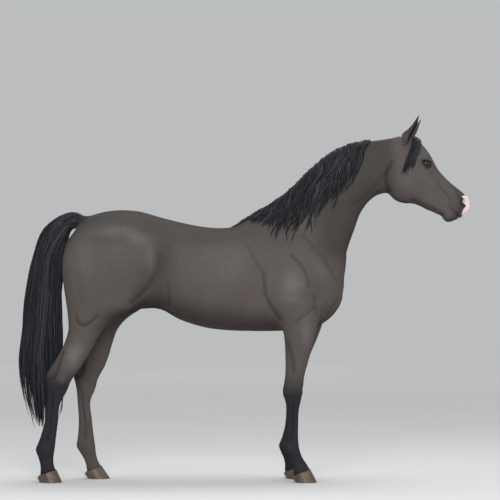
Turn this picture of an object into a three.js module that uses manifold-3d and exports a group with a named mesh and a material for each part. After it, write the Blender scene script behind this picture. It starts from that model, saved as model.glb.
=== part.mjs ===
// A standing horse of the Arab type, life size, as a museum model shows it.
// Millimetres, +X towards the nose, +Y to the horse's left, +Z up, with the floor at z = 0.
//
// The flesh is one rounded form, the sum of a few lofts and muscles. Each node shrinks its own grid of
// points onto that form, and is then cut free of its neighbours along thin flat gaps.
import * as THREE from 'three';
import { mergeVertices } from 'three/addons/utils/BufferGeometryUtils.js';
import Module from 'manifold-3d';

const wasm = await Module();
wasm.setup();

// Driving sizes
const GAP = 0.3; // left between nodes that touch
const REACH = 70; // how far a node's grid runs past its cut before the cut is made
const HUGE = 4000; // edge of the boxes that cut
const LEG_SPREAD = { fore: 118, hind: 120 }; // from the middle of the body to the middle of a hoof
const FLOOR = 10; // where the soles are in the numbers below; the model is set down on z = 0 at the end
// How far forward each leg stands at a few heights, counted from the leg as it is drawn below
const STANCE = {
  hind_right: [[1200, 0], [600, 8], [0, 9]],
  hind_left: [[1200, 0], [788, 88], [622, 134], [400, 166], [233, 206], [120, 236], [0, 262]],
  fore_right: [[1000, 0], [500, -2], [0, -2]],
  fore_left: [[920, 40], [700, 12], [510, 2], [190, -22], [90, -46], [0, -46]],
};
const EYE = { x: 1003, y: 81, z: 1767, radius: 23 };
const EAR = { x: 895, y: 46, z: 1878, length: { right: 166, left: 174 }, lean: { right: 31, left: 41 } };

const COLOURS = {
  coat: { color: 0x5a5452, roughness: 0.55 },
  darkCoat: { color: 0x3a383a, roughness: 0.55 },
  hair: { color: 0x1d1d20, roughness: 0.45 },
  horn: { color: 0x6d5d52, roughness: 0.5 },
  eye: { color: 0x140d0b, roughness: 0.08 },
};

// ---------------------------------------------------------------- lofts

/** A rib of a loft: from one point of the outline to the opposite one, and how wide the body is there. */
function rib(x1, z1, x2, z2, half, more = {}) {
  return { x1, z1, x2, z2, half, y: 0, square: 2.2, lean: 0, ...more };
}

/** A body drawn through ribs, with rounded sections. A lean under 0 makes a section narrower on top. */
class Loft {
  constructor(ribs, finePerRib = 6) {
    const through = (pick) => new THREE.CatmullRomCurve3(ribs.map((r) => new THREE.Vector3(...pick(r))));
    this.upper = through((r) => [r.x1, r.y, r.z1]);
    this.lower = through((r) => [r.x2, r.y, r.z2]);
    this.section = through((r) => [r.half, r.square * 100, r.lean * 100]);
    this.turned = 1;
    const [a, b] = [this.frame(0.45), this.frame(0.55)];
    if (b.centre.sub(a.centre).dot(a.onward) < 0) this.turned = -1;
    const steps = (ribs.length - 1) * finePerRib;
    this.frames = Array.from({ length: steps + 1 }, (_, i) => this.frame(i / steps));
    this.box = new THREE.Box3();
    for (const f of this.frames) {
      this.box.expandByPoint(f.top).expandByPoint(f.bottom);
      this.box.expandByPoint(f.centre.clone().setY(f.centre.y + f.half));
      this.box.expandByPoint(f.centre.clone().setY(f.centre.y - f.half));
    }
  }

  /** The rib at a share of the way along, with its centre, its directions and its half sizes. */
  frame(share) {
    const top = this.upper.getPoint(share);
    const bottom = this.lower.getPoint(share);
    const section = this.section.getPoint(share);
    const centre = top.clone().add(bottom).multiplyScalar(0.5);
    const up = top.clone().sub(bottom);
    const height = up.length() / 2;
    up.normalize();
    const onward = new THREE.Vector3(up.z, 0, -up.x).multiplyScalar(this.turned);
    const [half, square, lean] = [section.x, section.y / 100, section.z / 100];
    return { top, bottom, centre, up, onward, height, half, square, lean };
  }

  /** Roughly how far a point lies outside the loft, and under 0 inside it. */
  distance(p) {
    const apart = this.box.distanceToPoint(p);
    if (apart > 200) return apart;
    let best = Infinity;
    let behind = this.ahead(0, p);
    if (behind < 0) best = Math.max(this.across(this.frames[0], p), -behind);
    for (let i = 1; i < this.frames.length; i++) {
      const next = this.ahead(i, p);
      if (behind >= 0 && next < 0) {
        const share = behind / (behind - next);
        const near = this.across(this.frames[i - 1], p);
        const far = this.across(this.frames[i], p);
        best = Math.min(best, near + (far - near) * share);
      }
      behind = next;
    }
    if (behind >= 0) best = Math.min(best, Math.max(this.across(this.frames.at(-1), p), behind));
    return best;
  }

  ahead(i, p) {
    const { centre, onward } = this.frames[i];
    return (p.x - centre.x) * onward.x + (p.z - centre.z) * onward.z;
  }

  across(f, p) {
    const v = ((p.x - f.centre.x) * f.up.x + (p.z - f.centre.z) * f.up.z) / f.height;
    const y = p.y - f.centre.y;
    const u = y / (f.half * (1 + f.lean * THREE.MathUtils.clamp(v, -1, 1)));
    const rho = (Math.abs(u) ** f.square + Math.abs(v) ** f.square) ** (1 / f.square);
    if (rho < 0.05) return -Math.min(f.half, f.height);
    return Math.hypot(y, v * f.height) * (1 - 1 / rho);
  }
}

/** Joins two distances with a fillet of about the given size. */
function blend(a, b, size) {
  const share = Math.max(size - Math.abs(a - b), 0) / size;
  return Math.min(a, b) - (share * share * size) / 4;
}

// ---------------------------------------------------------------- the lofts of the body

const trunk = new Loft([
  rib(-1003, 1262, -1003, 1130, 50),
  rib(-975, 1350, -975, 1060, 110),
  rib(-925, 1418, -925, 1000, 165, { square: 2.3 }),
  rib(-860, 1474, -860, 965, 205, { square: 2.3 }),
  rib(-780, 1500, -780, 948, 228, { square: 2.3 }),
  rib(-690, 1510, -690, 948, 240, { square: 2.3, lean: -0.05 }),
  rib(-583, 1502, -583, 960, 243, { square: 2.3, lean: -0.08 }),
  rib(-472, 1471, -472, 960, 236, { square: 2.3, lean: -0.1 }),
  rib(-361, 1443, -361, 902, 250, { square: 2.25, lean: -0.1 }),
  rib(-222, 1418, -222, 858, 260, { square: 2.2, lean: -0.12 }),
  rib(-83, 1418, -83, 841, 250, { square: 2.15, lean: -0.16 }),
  rib(28, 1462, 28, 838, 226, { square: 2.1, lean: -0.28 }),
  rib(120, 1480, 120, 837, 202, { square: 2.05, lean: -0.34 }),
  rib(222, 1462, 222, 840, 186, { square: 2.1, lean: -0.3 }),
  rib(333, 1405, 333, 852, 168, { square: 2.2, lean: -0.12 }),
  rib(430, 1330, 430, 880, 142, { square: 2.2 }),
  rib(505, 1275, 505, 945, 102),
  rib(545, 1230, 545, 1030, 58),
]);

const neck = new Loft([
  rib(28, 1430, 400, 1000, 150, { lean: -0.25 }),
  rib(90, 1490, 535, 1135, 134, { lean: -0.3 }),
  rib(166, 1545, 560, 1258, 112, { lean: -0.32 }),
  rib(250, 1615, 584, 1335, 93, { lean: -0.32 }),
  rib(335, 1704, 608, 1400, 79, { lean: -0.3 }),
  rib(430, 1794, 640, 1488, 70, { lean: -0.28 }),
  rib(530, 1853, 688, 1556, 64, { lean: -0.24 }),
  rib(638, 1884, 738, 1592, 62, { lean: -0.2 }),
  rib(740, 1898, 790, 1606, 64, { lean: -0.15 }),
  rib(850, 1908, 840, 1625, 64, { lean: -0.1 }),
], 5);

const head = new Loft([
  rib(862, 1905, 790, 1690, 54, { lean: -0.1 }),
  rib(905, 1914, 782, 1640, 66, { lean: -0.05 }),
  rib(951, 1903, 802, 1596, 80, { square: 2.4, lean: 0.05 }),
  rib(988, 1870, 838, 1562, 89, { square: 2.6, lean: 0.16 }),
  rib(1020, 1828, 878, 1548, 90, { square: 2.7, lean: 0.2 }),
  rib(1046, 1782, 921, 1546, 80, { square: 2.7, lean: 0.14 }),
  rib(1071, 1738, 962, 1535, 67, { square: 2.6, lean: 0.05 }),
  rib(1105, 1698, 1010, 1511, 56, { square: 2.5, lean: -0.04 }),
  rib(1148, 1657, 1056, 1492, 49, { square: 2.4, lean: -0.1 }),
  rib(1185, 1627, 1090, 1468, 48, { square: 2.3, lean: -0.12 }),
  rib(1217, 1600, 1120, 1447, 49, { square: 2.3 }),
  rib(1238, 1578, 1165, 1454, 44, { square: 2.3 }),
  rib(1249, 1552, 1206, 1470, 34),
  rib(1251, 1534, 1228, 1490, 22),
]);

/** A leg's rib, level, from its front to its back. */
function level(z, back, front, y, half, more = {}) {
  return rib(front, z, back, z, half, { y, ...more });
}

/** The ribs of a hind leg, from the haunch down into the hoof, for a leg on the middle plane. */
const HIND_LEG = [
  level(1390, -930, -560, 105, 80),
  level(1288, -985, -525, 118, 118),
  level(1190, -1003, -512, 126, 130),
  level(1090, -996, -540, 130, 124),
  level(990, -984, -596, 131, 108),
  level(905, -976, -725, 130, 90),
  level(844, -977, -788, 128, 77),
  level(760, -1006, -838, 126, 62),
  level(677, -1052, -888, 123, 50),
  level(615, -1092, -930, 121, 46, { square: 2.5 }),
  level(566, -1096, -962, 120, 44, { square: 2.5 }),
  level(505, -1094, -990, 120, 37, { square: 2.4 }),
  level(440, -1099, -1024, 120, 28),
  level(344, -1112, -1035, 120, 25),
  level(250, -1138, -1047, 120, 29),
  level(190, -1158, -1054, 120, 35),
  level(140, -1143, -1061, 120, 30),
  level(95, -1134, -1056, 120, 33),
  level(50, -1136, -1030, 120, 42),
];

/** The ribs of a foreleg, from inside the chest down into the hoof. */
const FORE_LEG = [
  level(985, 150, 420, 112, 78),
  level(920, 176, 408, 116, 76),
  level(860, 207, 398, 119, 70),
  level(788, 218, 380, 120, 62),
  level(700, 223, 354, 119, 51),
  level(610, 223, 335, 118, 44),
  level(550, 216, 324, 118, 43, { square: 2.5 }),
  level(500, 210, 319, 118, 43, { square: 2.6 }),
  level(455, 224, 311, 118, 35, { square: 2.4 }),
  level(410, 234, 301, 118, 26),
  level(316, 236, 297, 118, 23),
  level(250, 226, 297, 118, 26),
  level(192, 213, 304, 118, 33),
  level(148, 239, 319, 118, 28),
  level(100, 265, 350, 118, 32),
  level(50, 268, 376, 118, 42),
];

/** How far forward a leg stands at a height. */
function forward(name, z) {
  const steps = STANCE[name];
  const i = steps.findIndex(([height]) => z >= height);
  if (i === 0) return steps[0][1];
  const [[z1, x1], [z2, x2]] = i < 0 ? steps.slice(-2) : steps.slice(i - 1, i + 1);
  return x1 + ((x2 - x1) * (z1 - Math.max(z, z2))) / (z1 - z2);
}

/** One of the legs: the ribs of a leg in their stance, on the right or the left side. */
function leg(name, ribs) {
  const side = name.endsWith('right') ? -1 : 1;
  return new Loft(ribs.map((r) => {
    return { ...r, x1: r.x1 + forward(name, r.z1), x2: r.x2 + forward(name, r.z2), y: side * r.y };
  }), 5);
}

const legs = {
  hind_right: leg('hind_right', HIND_LEG),
  hind_left: leg('hind_left', HIND_LEG),
  fore_right: leg('fore_right', FORE_LEG),
  fore_left: leg('fore_left', FORE_LEG),
};

const dock = new Loft([
  rib(-800, 1462, -860, 1340, 60),
  rib(-868, 1474, -896, 1385, 44),
  rib(-912, 1484, -922, 1414, 34),
  rib(-950, 1485, -954, 1420, 29),
  rib(-1010, 1468, -985, 1405, 26),
  rib(-1070, 1425, -1030, 1375, 22),
]);

// ---------------------------------------------------------------- muscles and hollows

/** A soft swelling, or a hollow where rise is under 0, on both sides of the body unless one is named. */
function swell(x, y, z, rise, long, high, turn = 0, side = 0) {
  const angle = THREE.MathUtils.degToRad(turn);
  return { x, y, z, rise, long, high, cos: Math.cos(angle), sin: Math.sin(angle), side };
}

const SWELLS = [
  swell(290, 190, 1040, 16, 95, 125, -20), // upper arm, behind the point of the shoulder
  swell(190, 190, 1240, 12, 70, 190, -28), // shoulder blade
  swell(380, 150, 1130, 12, 70, 90), // point of the shoulder
  swell(70, 200, 1080, -10, 45, 150, -20), // hollow behind the shoulder
  swell(470, 60, 1080, 12, 60, 120), // breast muscles
  swell(530, 0, 1080, -10, 50, 110), // furrow of the breast
  swell(-560, 235, 1390, 14, 60, 50), // point of the hip
  swell(-470, 235, 1290, -26, 60, 80), // flank hollow
  swell(-520, 220, 1110, -14, 45, 120, -15), // in front of the thigh
  swell(-760, 250, 1230, 12, 130, 140, 20), // haunch
  swell(-930, 130, 1180, 10, 60, 150), // back of the thigh
  swell(-700, 190, 985, 14, 80, 60), // stifle
  swell(-200, 250, 1080, 8, 220, 160), // ribs
  swell(-60, 60, 1425, -8, 160, 40), // beside the withers
  swell(560, 75, 1640, -7, 130, 26, 48), // jugular furrow
  swell(520, 62, 1790, 5, 150, 45, 38), // crest of the neck
  swell(300, 110, 1450, -8, 90, 120, 40), // in front of the shoulder blade
  swell(880, 60, 1660, 13, 62, 58), // cheek
  swell(998, 84, 1775, 9, 34, 28), // brow
  swell(960, 70, 1838, -7, 26, 24), // hollow above the eye
  swell(1052, 62, 1662, 6, 75, 14, -50), // facial crest
  swell(1100, 50, 1640, -5, 60, 24, -46), // under the nose bone
  swell(1060, 50, 1590, -4, 70, 24, -40), // bars of the jaw
  swell(1206, 46, 1556, 10, 26, 24, -40), // nostril
  swell(1150, 40, 1510, -4, 30, 14, -40), // corner of the mouth
  swell(1108, 20, 1478, 5, 24, 18), // chin
];

/** How much the swellings lift the surface at a point. */
function lift(p) {
  let total = 0;
  for (const s of SWELLS) {
    const dx = p.x - s.x;
    const dz = p.z - s.z;
    const along = (dx * s.cos + dz * s.sin) / s.long;
    const over = (dz * s.cos - dx * s.sin) / s.high;
    const flat = along * along + over * over;
    if (flat > 9) continue;
    const wide = (Math.abs(p.y) - s.y) / 70;
    total += s.rise * Math.exp(-flat - wide * wide);
  }
  return total;
}

/** The whole of the flesh: how far a point lies outside it. */
function flesh(p) {
  let d = blend(trunk.distance(p), neck.distance(p), 60);
  d = blend(d, head.distance(p), 24);
  for (const name of ['hind_right', 'hind_left']) d = blend(d, legs[name].distance(p), 46);
  for (const name of ['fore_right', 'fore_left']) d = blend(d, legs[name].distance(p), 50);
  return d - lift(p);
}

// ---------------------------------------------------------------- meshes and solids

/** A closed mesh over a row of rings with as many points each, with a fan over either end. */
function shell(rings) {
  const sides = rings[0].length;
  const points = rings.flat();
  const faces = [];
  rings.slice(1).forEach((_, r) => {
    for (let s = 0; s < sides; s++) {
      const a = r * sides + s;
      const b = r * sides + ((s + 1) % sides);
      faces.push([a, b, b + sides], [a, b + sides, a + sides]);
    }
  });
  const close = (a, b, c, turned) => faces.push(turned ? [a, b, c] : [c, b, a]);
  for (const [first, turned] of [[0, false], [(rings.length - 1) * sides, true]]) {
    for (let a = first, b = first + sides - 1; a + 1 < b; a++, b--) {
      close(a, a + 1, b, turned);
      if (a + 1 < b - 1) close(a + 1, b - 1, b, turned);
    }
  }
  const volume = faces.reduce((sum, [a, b, c]) => {
    return sum + points[a].dot(new THREE.Vector3().crossVectors(points[b], points[c]));
  }, 0);
  if (volume < 0) faces.forEach((f) => f.reverse());
  const geometry = new THREE.BufferGeometry().setFromPoints(points);
  geometry.setIndex(faces.flat());
  return geometry;
}

/** A three.js geometry as a solid that can be cut. */
function solid(geometry) {
  const bare = geometry.clone();
  bare.deleteAttribute('normal');
  bare.deleteAttribute('uv');
  const merged = mergeVertices(bare, 1e-3);
  return new wasm.Manifold(new wasm.Mesh({
    numProp: 3,
    vertProperties: merged.attributes.position.array,
    triVerts: new Uint32Array(merged.index.array),
  }));
}

/** A cut solid as a three.js geometry again. */
function geometryOf(made) {
  const mesh = made.getMesh();
  const geometry = new THREE.BufferGeometry();
  geometry.setAttribute('position', new THREE.BufferAttribute(mesh.vertProperties, 3));
  geometry.setIndex(new THREE.BufferAttribute(mesh.triVerts, 1));
  geometry.computeVertexNormals();
  return geometry;
}

/** Where a line from inside a form leaves it. */
function leaves(form, from, direction) {
  const step = 12;
  const at = (t) => from.clone().addScaledVector(direction, t);
  let far = step;
  while (form(at(far)) < 0 && far < 1500) far += step;
  let near = far - step;
  for (let i = 0; i < 14; i++) {
    const middle = (near + far) / 2;
    if (form(at(middle)) < 0) near = middle;
    else far = middle;
  }
  return at((near + far) / 2);
}

/** The direction straight out of a form, at a point on its surface. */
function straightOut(form, p) {
  const slope = (x, y, z) => {
    const move = new THREE.Vector3(x, y, z);
    return form(p.clone().add(move)) - form(p.clone().sub(move));
  };
  return new THREE.Vector3(slope(3, 0, 0), slope(0, 3, 0), slope(0, 0, 3)).normalize();
}

/** Shrinks a grid of points round a loft onto a form, with rounded caps over both ends of the grid. */
function wrap(loft, form, { from = 0, to = 1, rings, sides, caps = 3 }) {
  const made = [];
  const ring = (frame, tilt) => Array.from({ length: sides }, (_, s) => {
    const angle = (s / sides) * 2 * Math.PI;
    const out = frame.up.clone().multiplyScalar(Math.cos(angle) * frame.height);
    out.y += Math.sin(angle) * frame.half;
    out.normalize().multiplyScalar(Math.cos(tilt)).addScaledVector(frame.onward, Math.sin(tilt));
    return leaves(form, frame.centre, out);
  });
  const lean = (i) => (i / (caps + 0.5)) * (Math.PI / 2);
  for (let i = caps; i > 0; i--) made.push(ring(loft.frame(from), -lean(i)));
  for (let i = 0; i < rings; i++) made.push(ring(loft.frame(from + ((to - from) * i) / (rings - 1)), 0));
  for (let i = 1; i <= caps; i++) made.push(ring(loft.frame(to), lean(i)));
  return solid(shell(made));
}

/** A form cut off where a point lies inside any of the given regions by more than the grid's reach. */
function outside(form, regions) {
  return (p) => regions.reduce((d, region) => Math.max(d, -region(p) - REACH), form(p));
}

// ---------------------------------------------------------------- the cuts between the nodes

/** A flat cut: the side of it that its normal points to, as a distance and as a box. */
function plane(point, normal) {
  const n = new THREE.Vector3(...normal).normalize();
  const at = new THREE.Vector3(...point);
  return {
    region: (p) => -n.dot(p.clone().sub(at)),
    box(gap) {
      const g = new THREE.BoxGeometry(HUGE, HUGE, HUGE);
      g.translate(0, 0, HUGE / 2 + gap / 2);
      g.applyQuaternion(new THREE.Quaternion().setFromUnitVectors(new THREE.Vector3(0, 0, 1), n));
      g.translate(at.x, at.y, at.z);
      return solid(g);
    },
    other() {
      return plane(point, normal.map((v) => -v));
    },
  };
}

/** The side of a cut through two points of the side view that lies above or ahead of their line. */
function across(x1, z1, x2, z2) {
  return plane([x1, 0, z1], [z1 - z2, 0, x2 - x1]);
}

/** The region inside several cuts at once, and its box. */
function corner(...planes) {
  return {
    region: (p) => Math.max(...planes.map((c) => c.region(p))),
    box: (gap) => planes.map((c) => c.box(gap)).reduce((a, b) => a.intersect(b)),
  };
}

const CHEST_UNDER = [150, 838, 440, 888]; // the forelegs start below this line of the side view
const CHEST_HALF = 46; // and outside this
const shoulderCut = across(90, 1515, 560, 1140);
const pollCut = across(846, 1930, 780, 1580);
const legCuts = {};
for (const [name, side] of [['right', -1], ['left', 1]]) {
  legCuts['hind_' + name] = corner(
    across(-1040, 1150, -470, 1000).other(),
    plane([0, side * 0.01, 0], [0, side, 0]),
    plane([-478, 0, 0], [-1, 0, 0]),
  );
  legCuts['fore_' + name] = corner(
    across(...CHEST_UNDER).other(),
    plane([0, side * CHEST_HALF, 0], [0, side, 0]),
    plane([150, 0, 0], [1, 0, 0]),
  );
}

// ---------------------------------------------------------------- the nodes

const horse = new THREE.Group();

/** Adds a node of one material. */
function add(name, geometry, finish) {
  const material = new THREE.MeshStandardMaterial({ ...COLOURS[finish], metalness: 0 });
  const mesh = new THREE.Mesh(geometry, material);
  mesh.name = name;
  horse.add(mesh);
  return mesh;
}

/** The barrel, shoulders and croup, without neck, legs and tail. */
function makeTrunk() {
  const cuts = [shoulderCut, ...Object.values(legCuts)];
  const form = outside(flesh, cuts.map((c) => c.region));
  let made = wrap(trunk, form, { from: 0.14, to: 0.86, rings: 22, sides: 28, caps: 4 });
  for (const cut of cuts) made = made.subtract(cut.box(-GAP));
  return made;
}

/** The neck, from the shoulders to the poll. */
function makeNeck() {
  const form = outside(flesh, [shoulderCut.other().region, pollCut.region]);
  const made = wrap(neck, form, { from: 0.13, to: 0.97, rings: 11, sides: 22, caps: 2 });
  return made.intersect(shoulderCut.box(GAP)).subtract(pollCut.box(-GAP));
}

/** The head, with sockets for the eyes. */
function makeHead() {
  const form = outside(flesh, [pollCut.other().region]);
  let made = wrap(head, form, { from: 0.02, to: 0.93, rings: 22, sides: 24, caps: 3 });
  made = made.intersect(pollCut.box(GAP));
  for (const side of [-1, 1]) made = made.subtract(solid(eyeBall(side, GAP)));
  return made;
}

/** An eyeball, larger all over by the given amount. */
function eyeBall(side, more = 0) {
  return new THREE.SphereGeometry(EYE.radius + more, 12, 8).translate(EYE.x, side * EYE.y, EYE.z);
}

/** The hoof under a leg's last rib: a slanting block of horn with a flat sole. */
function makeHoof(loft, { coronetHeel, coronetToe, soleHeel, soleToe, widthTop, widthSole }) {
  const y = loft.frame(1).centre.y;
  const sides = 16;
  const layers = 2;
  const rings = Array.from({ length: layers + 1 }, (_, i) => {
    const share = i / layers;
    const mix = (a, b) => a + (b - a) * share;
    const heel = [mix(coronetHeel[0], soleHeel[0]), mix(coronetHeel[1], soleHeel[1])];
    const toe = [mix(coronetToe[0], soleToe[0]), mix(coronetToe[1], soleToe[1])];
    const middle = [(heel[0] + toe[0]) / 2, (heel[1] + toe[1]) / 2];
    return Array.from({ length: sides }, (_, s) => {
      const angle = (s / sides) * 2 * Math.PI;
      const along = Math.sign(Math.cos(angle)) * Math.abs(Math.cos(angle)) ** 0.86;
      const narrow = 1 - 0.12 * Math.max(-along, 0);
      return new THREE.Vector3(
        middle[0] + (along * (toe[0] - heel[0])) / 2,
        y + Math.sin(angle) * narrow * mix(widthTop, widthSole) / 2,
        middle[1] + (along * (toe[1] - heel[1])) / 2,
      );
    });
  });
  return shell(rings);
}

/** The hoof's corners, moved forward with its leg. */
function hoofSizes(name) {
  const at = (x, z) => [x + forward(name, z), z];
  return name.startsWith('hind')
    ? {
      coronetHeel: at(-1158, 44), coronetToe: at(-1046, 80),
      soleHeel: at(-1136, FLOOR), soleToe: at(-1014, FLOOR),
      widthTop: 96, widthSole: 122,
    }
    : {
      coronetHeel: at(256, 46), coronetToe: at(362, 82), soleHeel: at(280, FLOOR), soleToe: at(400, FLOOR),
      widthTop: 98, widthSole: 126,
    };
}

/** A leg down to the coronet, and its hoof. */
function makeLeg(name) {
  const sizes = hoofSizes(name);
  const hind = name.startsWith('hind');
  const coronet = across(...sizes.coronetHeel, ...sizes.coronetToe);
  const keep = legCuts[name];
  const form = (p) => Math.max(flesh(p), keep.region(p) - REACH);
  const made = wrap(legs[name], form, {
    from: hind ? 0.145 : 0.1, to: 0.985, rings: hind ? 25 : 21, sides: 14, caps: 2,
  });
  add('leg_' + name, geometryOf(made.intersect(keep.box(GAP)).intersect(coronet.box(GAP))), 'coat');
  add('hoof_' + name, makeHoof(legs[name], sizes), 'horn');
}

/** The root of the tail, which carries the hair. */
function makeDock() {
  const rings = Array.from({ length: 9 }, (_, i) => ovalOf(dock.frame(i / 8), 14));
  return clearOf(shell(rings), [trunkSolid]).subtract(tailCut.box(-GAP));
}

const tailCut = plane([-968, 0, 1440], [-1, 0, -0.3]);

/** The hair of the tail, arched away from the croup and hanging to below the hocks. */
function makeTail() {
  const hair = new Loft([
    rib(-925, 1490, -935, 1420, 26),
    rib(-955, 1494, -958, 1412, 32),
    rib(-1005, 1484, -976, 1376, 38),
    rib(-1064, 1446, -990, 1322, 44),
    rib(-1118, 1390, -1002, 1262, 50),
    rib(-1158, 1310, -1014, 1205, 53),
    rib(-1182, 1215, -1021, 1135, 54),
    rib(-1205, 1090, -1026, 1050, 54),
    rib(-1226, 950, -1026, 930, 53),
    rib(-1240, 810, -1030, 800, 52),
    rib(-1248, 690, -1034, 690, 50),
    rib(-1247, 590, -1038, 590, 46),
    rib(-1234, 490, -1044, 490, 40),
    rib(-1205, 400, -1062, 400, 30),
    rib(-1160, 318, -1105, 318, 16),
  ]);
  const rings = Array.from({ length: 20 }, (_, i) => hair.frame(i / 19)).map((f) => ovalOf(f, 14));
  return clearOf(shell(rings), [trunkSolid]).intersect(tailCut.box(GAP));
}

/** A ring of points on the section at a frame. */
function ovalOf(f, sides) {
  return Array.from({ length: sides }, (_, s) => {
    const angle = (s / sides) * 2 * Math.PI;
    const power = 2 / f.square;
    const cos = Math.sign(Math.cos(angle)) * Math.abs(Math.cos(angle)) ** power;
    const sin = Math.sign(Math.sin(angle)) * Math.abs(Math.sin(angle)) ** power;
    const p = f.centre.clone().addScaledVector(f.up, cos * f.height);
    p.y += sin * f.half;
    return p;
  });
}

/** A layer of hair over the flesh. Each strip starts on top, and turns over to hang down the right side. */
function hairLayer(strips, { gap, rows, depth, turnOver }) {
  const rings = strips.map(({ root, tip, overTop, thick, thin }) => {
    const inner = [];
    const outer = [];
    const up = overTop.clone().normalize();
    for (let i = 0; i <= rows; i++) {
      const share = i / rows;
      const turn = Math.min(1, share * turnOver) * (Math.PI / 2);
      const out = up.clone().multiplyScalar(Math.cos(turn));
      out.y -= Math.sin(turn);
      const from = root.clone().lerp(tip, share).addScaledVector(up, -depth * Math.cos(turn));
      const skin = leaves(flesh, from, out);
      const away = straightOut(flesh, skin);
      inner.push(skin.clone().addScaledVector(away, gap));
      outer.push(skin.clone().addScaledVector(away, gap + thick + (thin - thick) * share));
    }
    return [...outer, ...inner.reverse()];
  });
  return shell(rings);
}

/** The mane, along the crest from the withers, fallen to the right. */
function makeMane() {
  const crest = new THREE.CatmullRomCurve3([
    [50, 1462], [120, 1514], [200, 1575], [290, 1660], [370, 1742], [460, 1816], [545, 1857],
    [620, 1879], [690, 1893],
  ].map(([x, z]) => new THREE.Vector3(x, 0, z)));
  const edge = new THREE.CatmullRomCurve3([
    [30, 1440], [110, 1470], [165, 1410], [240, 1345], [350, 1375], [440, 1510], [530, 1580],
    [592, 1690], [650, 1822],
  ].map(([x, z]) => new THREE.Vector3(x, 0, z)));
  const count = 22;
  const strips = Array.from({ length: count + 1 }, (_, i) => {
    const share = i / count;
    const root = crest.getPoint(share);
    const tip = edge.getPoint(share);
    const along = crest.getTangent(share);
    const full = Math.min(1, share * 5 + 0.4, (1 - share) * 6 + 0.4);
    return {
      root: root.clone().lerp(tip, 0.12), tip, overTop: new THREE.Vector3(-along.z, 0, along.x),
      thick: 13 * full, thin: 6 * full,
    };
  });
  return hairLayer(strips, { gap: 9, rows: 7, depth: 45, turnOver: 1.8 });
}

/** The forelock, from the poll down over the right side of the forehead. */
function makeForelock() {
  const count = 5;
  const strips = Array.from({ length: count + 1 }, (_, i) => {
    const share = i / count;
    const full = 0.5 + 0.5 * Math.sin(Math.PI * share);
    const root = new THREE.Vector3(949 + 27 * share, 0, 1891 - 15 * share);
    const tip = new THREE.Vector3(880 + 66 * share, 0, 1722 + 40 * share);
    return {
      root: root.clone().lerp(tip, 0.1), tip, overTop: new THREE.Vector3(0.45, 0, 0.9),
      thick: 11 * full, thin: 5 * full,
    };
  });
  return hairLayer(strips, { gap: 9, rows: 8, depth: 40, turnOver: 1.4 });
}

/** Hair with the flesh under it cut out, a little way off it. */
function clearOf(hair, bodies) {
  let made = solid(hair);
  for (const body of bodies) {
    for (const move of [[0, 0, 0], [0, -GAP, GAP], [-GAP, GAP, 0]]) {
      made = made.subtract(body.translate(move));
    }
  }
  return made;
}

/** An ear: a leaf rolled round its own length, open to the front, standing on the head. */
function makeEar(name, side) {
  const layers = 7;
  const arcPoints = 6;
  const wall = 6;
  const slim = 0.66; // depth from front to back, as a share of the width, over most of the ear
  const rings = Array.from({ length: layers + 1 }, (_, i) => {
    const share = i / layers;
    const width = 32 * Math.sin(Math.PI * (0.2 + 0.8 * share)) ** 0.8 * (1 - 0.25 * share) + 2.5;
    const deep = width * Math.max(slim, 1 - share);
    const open = THREE.MathUtils.degToRad(THREE.MathUtils.lerp(158, 100, share));
    const thick = Math.min(wall, deep * 0.6);
    const centre = new THREE.Vector3(10 * Math.sin(Math.PI * share), 0, EAR.length[name] * share);
    const outer = [];
    const inner = [];
    for (let s = 0; s < arcPoints; s++) {
      const angle = Math.PI + open * (s / (arcPoints - 1) - 0.5) * 2;
      const out = new THREE.Vector3(Math.cos(angle), Math.sin(angle), 0);
      const edge = new THREE.Vector3(out.x * deep, out.y * width, 0).add(centre);
      outer.push(edge);
      inner.push(edge.clone().addScaledVector(out, -thick));
    }
    return [...outer, ...inner.reverse()];
  });
  const geometry = shell(rings);
  const [outward, onward, twist] = [side * -12, EAR.lean[name], side * 24].map(THREE.MathUtils.degToRad);
  const turn = new THREE.Euler(outward, onward, twist, 'ZYX');
  geometry.applyQuaternion(new THREE.Quaternion().setFromEuler(turn));
  geometry.translate(EAR.x, side * EAR.y, EAR.z);
  const up = 0.4;
  return solid(geometry).subtract(headSolid).translate([up * 0.4, side * up * 0.2, up]);
}

const headSolid = makeHead();
const neckSolid = makeNeck();
const trunkSolid = makeTrunk();
add('trunk', geometryOf(trunkSolid), 'coat');
add('neck', geometryOf(neckSolid), 'coat');
add('head', geometryOf(headSolid), 'coat');
for (const name of Object.keys(legs)) makeLeg(name);
add('tail_dock', geometryOf(makeDock()), 'coat');
add('tail_hair', geometryOf(makeTail()), 'hair');
add('mane', makeMane(), 'hair');
const ears = [];
for (const [name, side] of [['right', -1], ['left', 1]]) {
  add('eye_' + name, eyeBall(side), 'eye');
  ears.push(makeEar(name, side));
  add('ear_' + name, geometryOf(ears.at(-1)), 'coat');
}
add('forelock', makeForelock(), 'hair');

const bounds = new THREE.Box3().setFromObject(horse);
horse.position.set(-(bounds.min.x + bounds.max.x) / 2, -(bounds.min.y + bounds.max.y) / 2, -bounds.min.z);

export default horse;
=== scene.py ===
"""A standing dark horse of the Arab type, life size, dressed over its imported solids.

One skin stands for all the nodes of flesh. It is drawn onto the same rounded form as the solids, lies
inside them by the depth of the coat, and carries the folds, lids, nostrils, veins and tendons. Eyes and
hooves are pieces of their own. The coat is short tufts over the skin, and the mane, forelock and tail are
long locks.
"""

import logging
import math
from dataclasses import dataclass, field, replace
from enum import Enum
from typing import Callable, Sequence

import bpy
import numpy as np
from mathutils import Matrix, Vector
from mathutils.bvhtree import BVHTree

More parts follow.
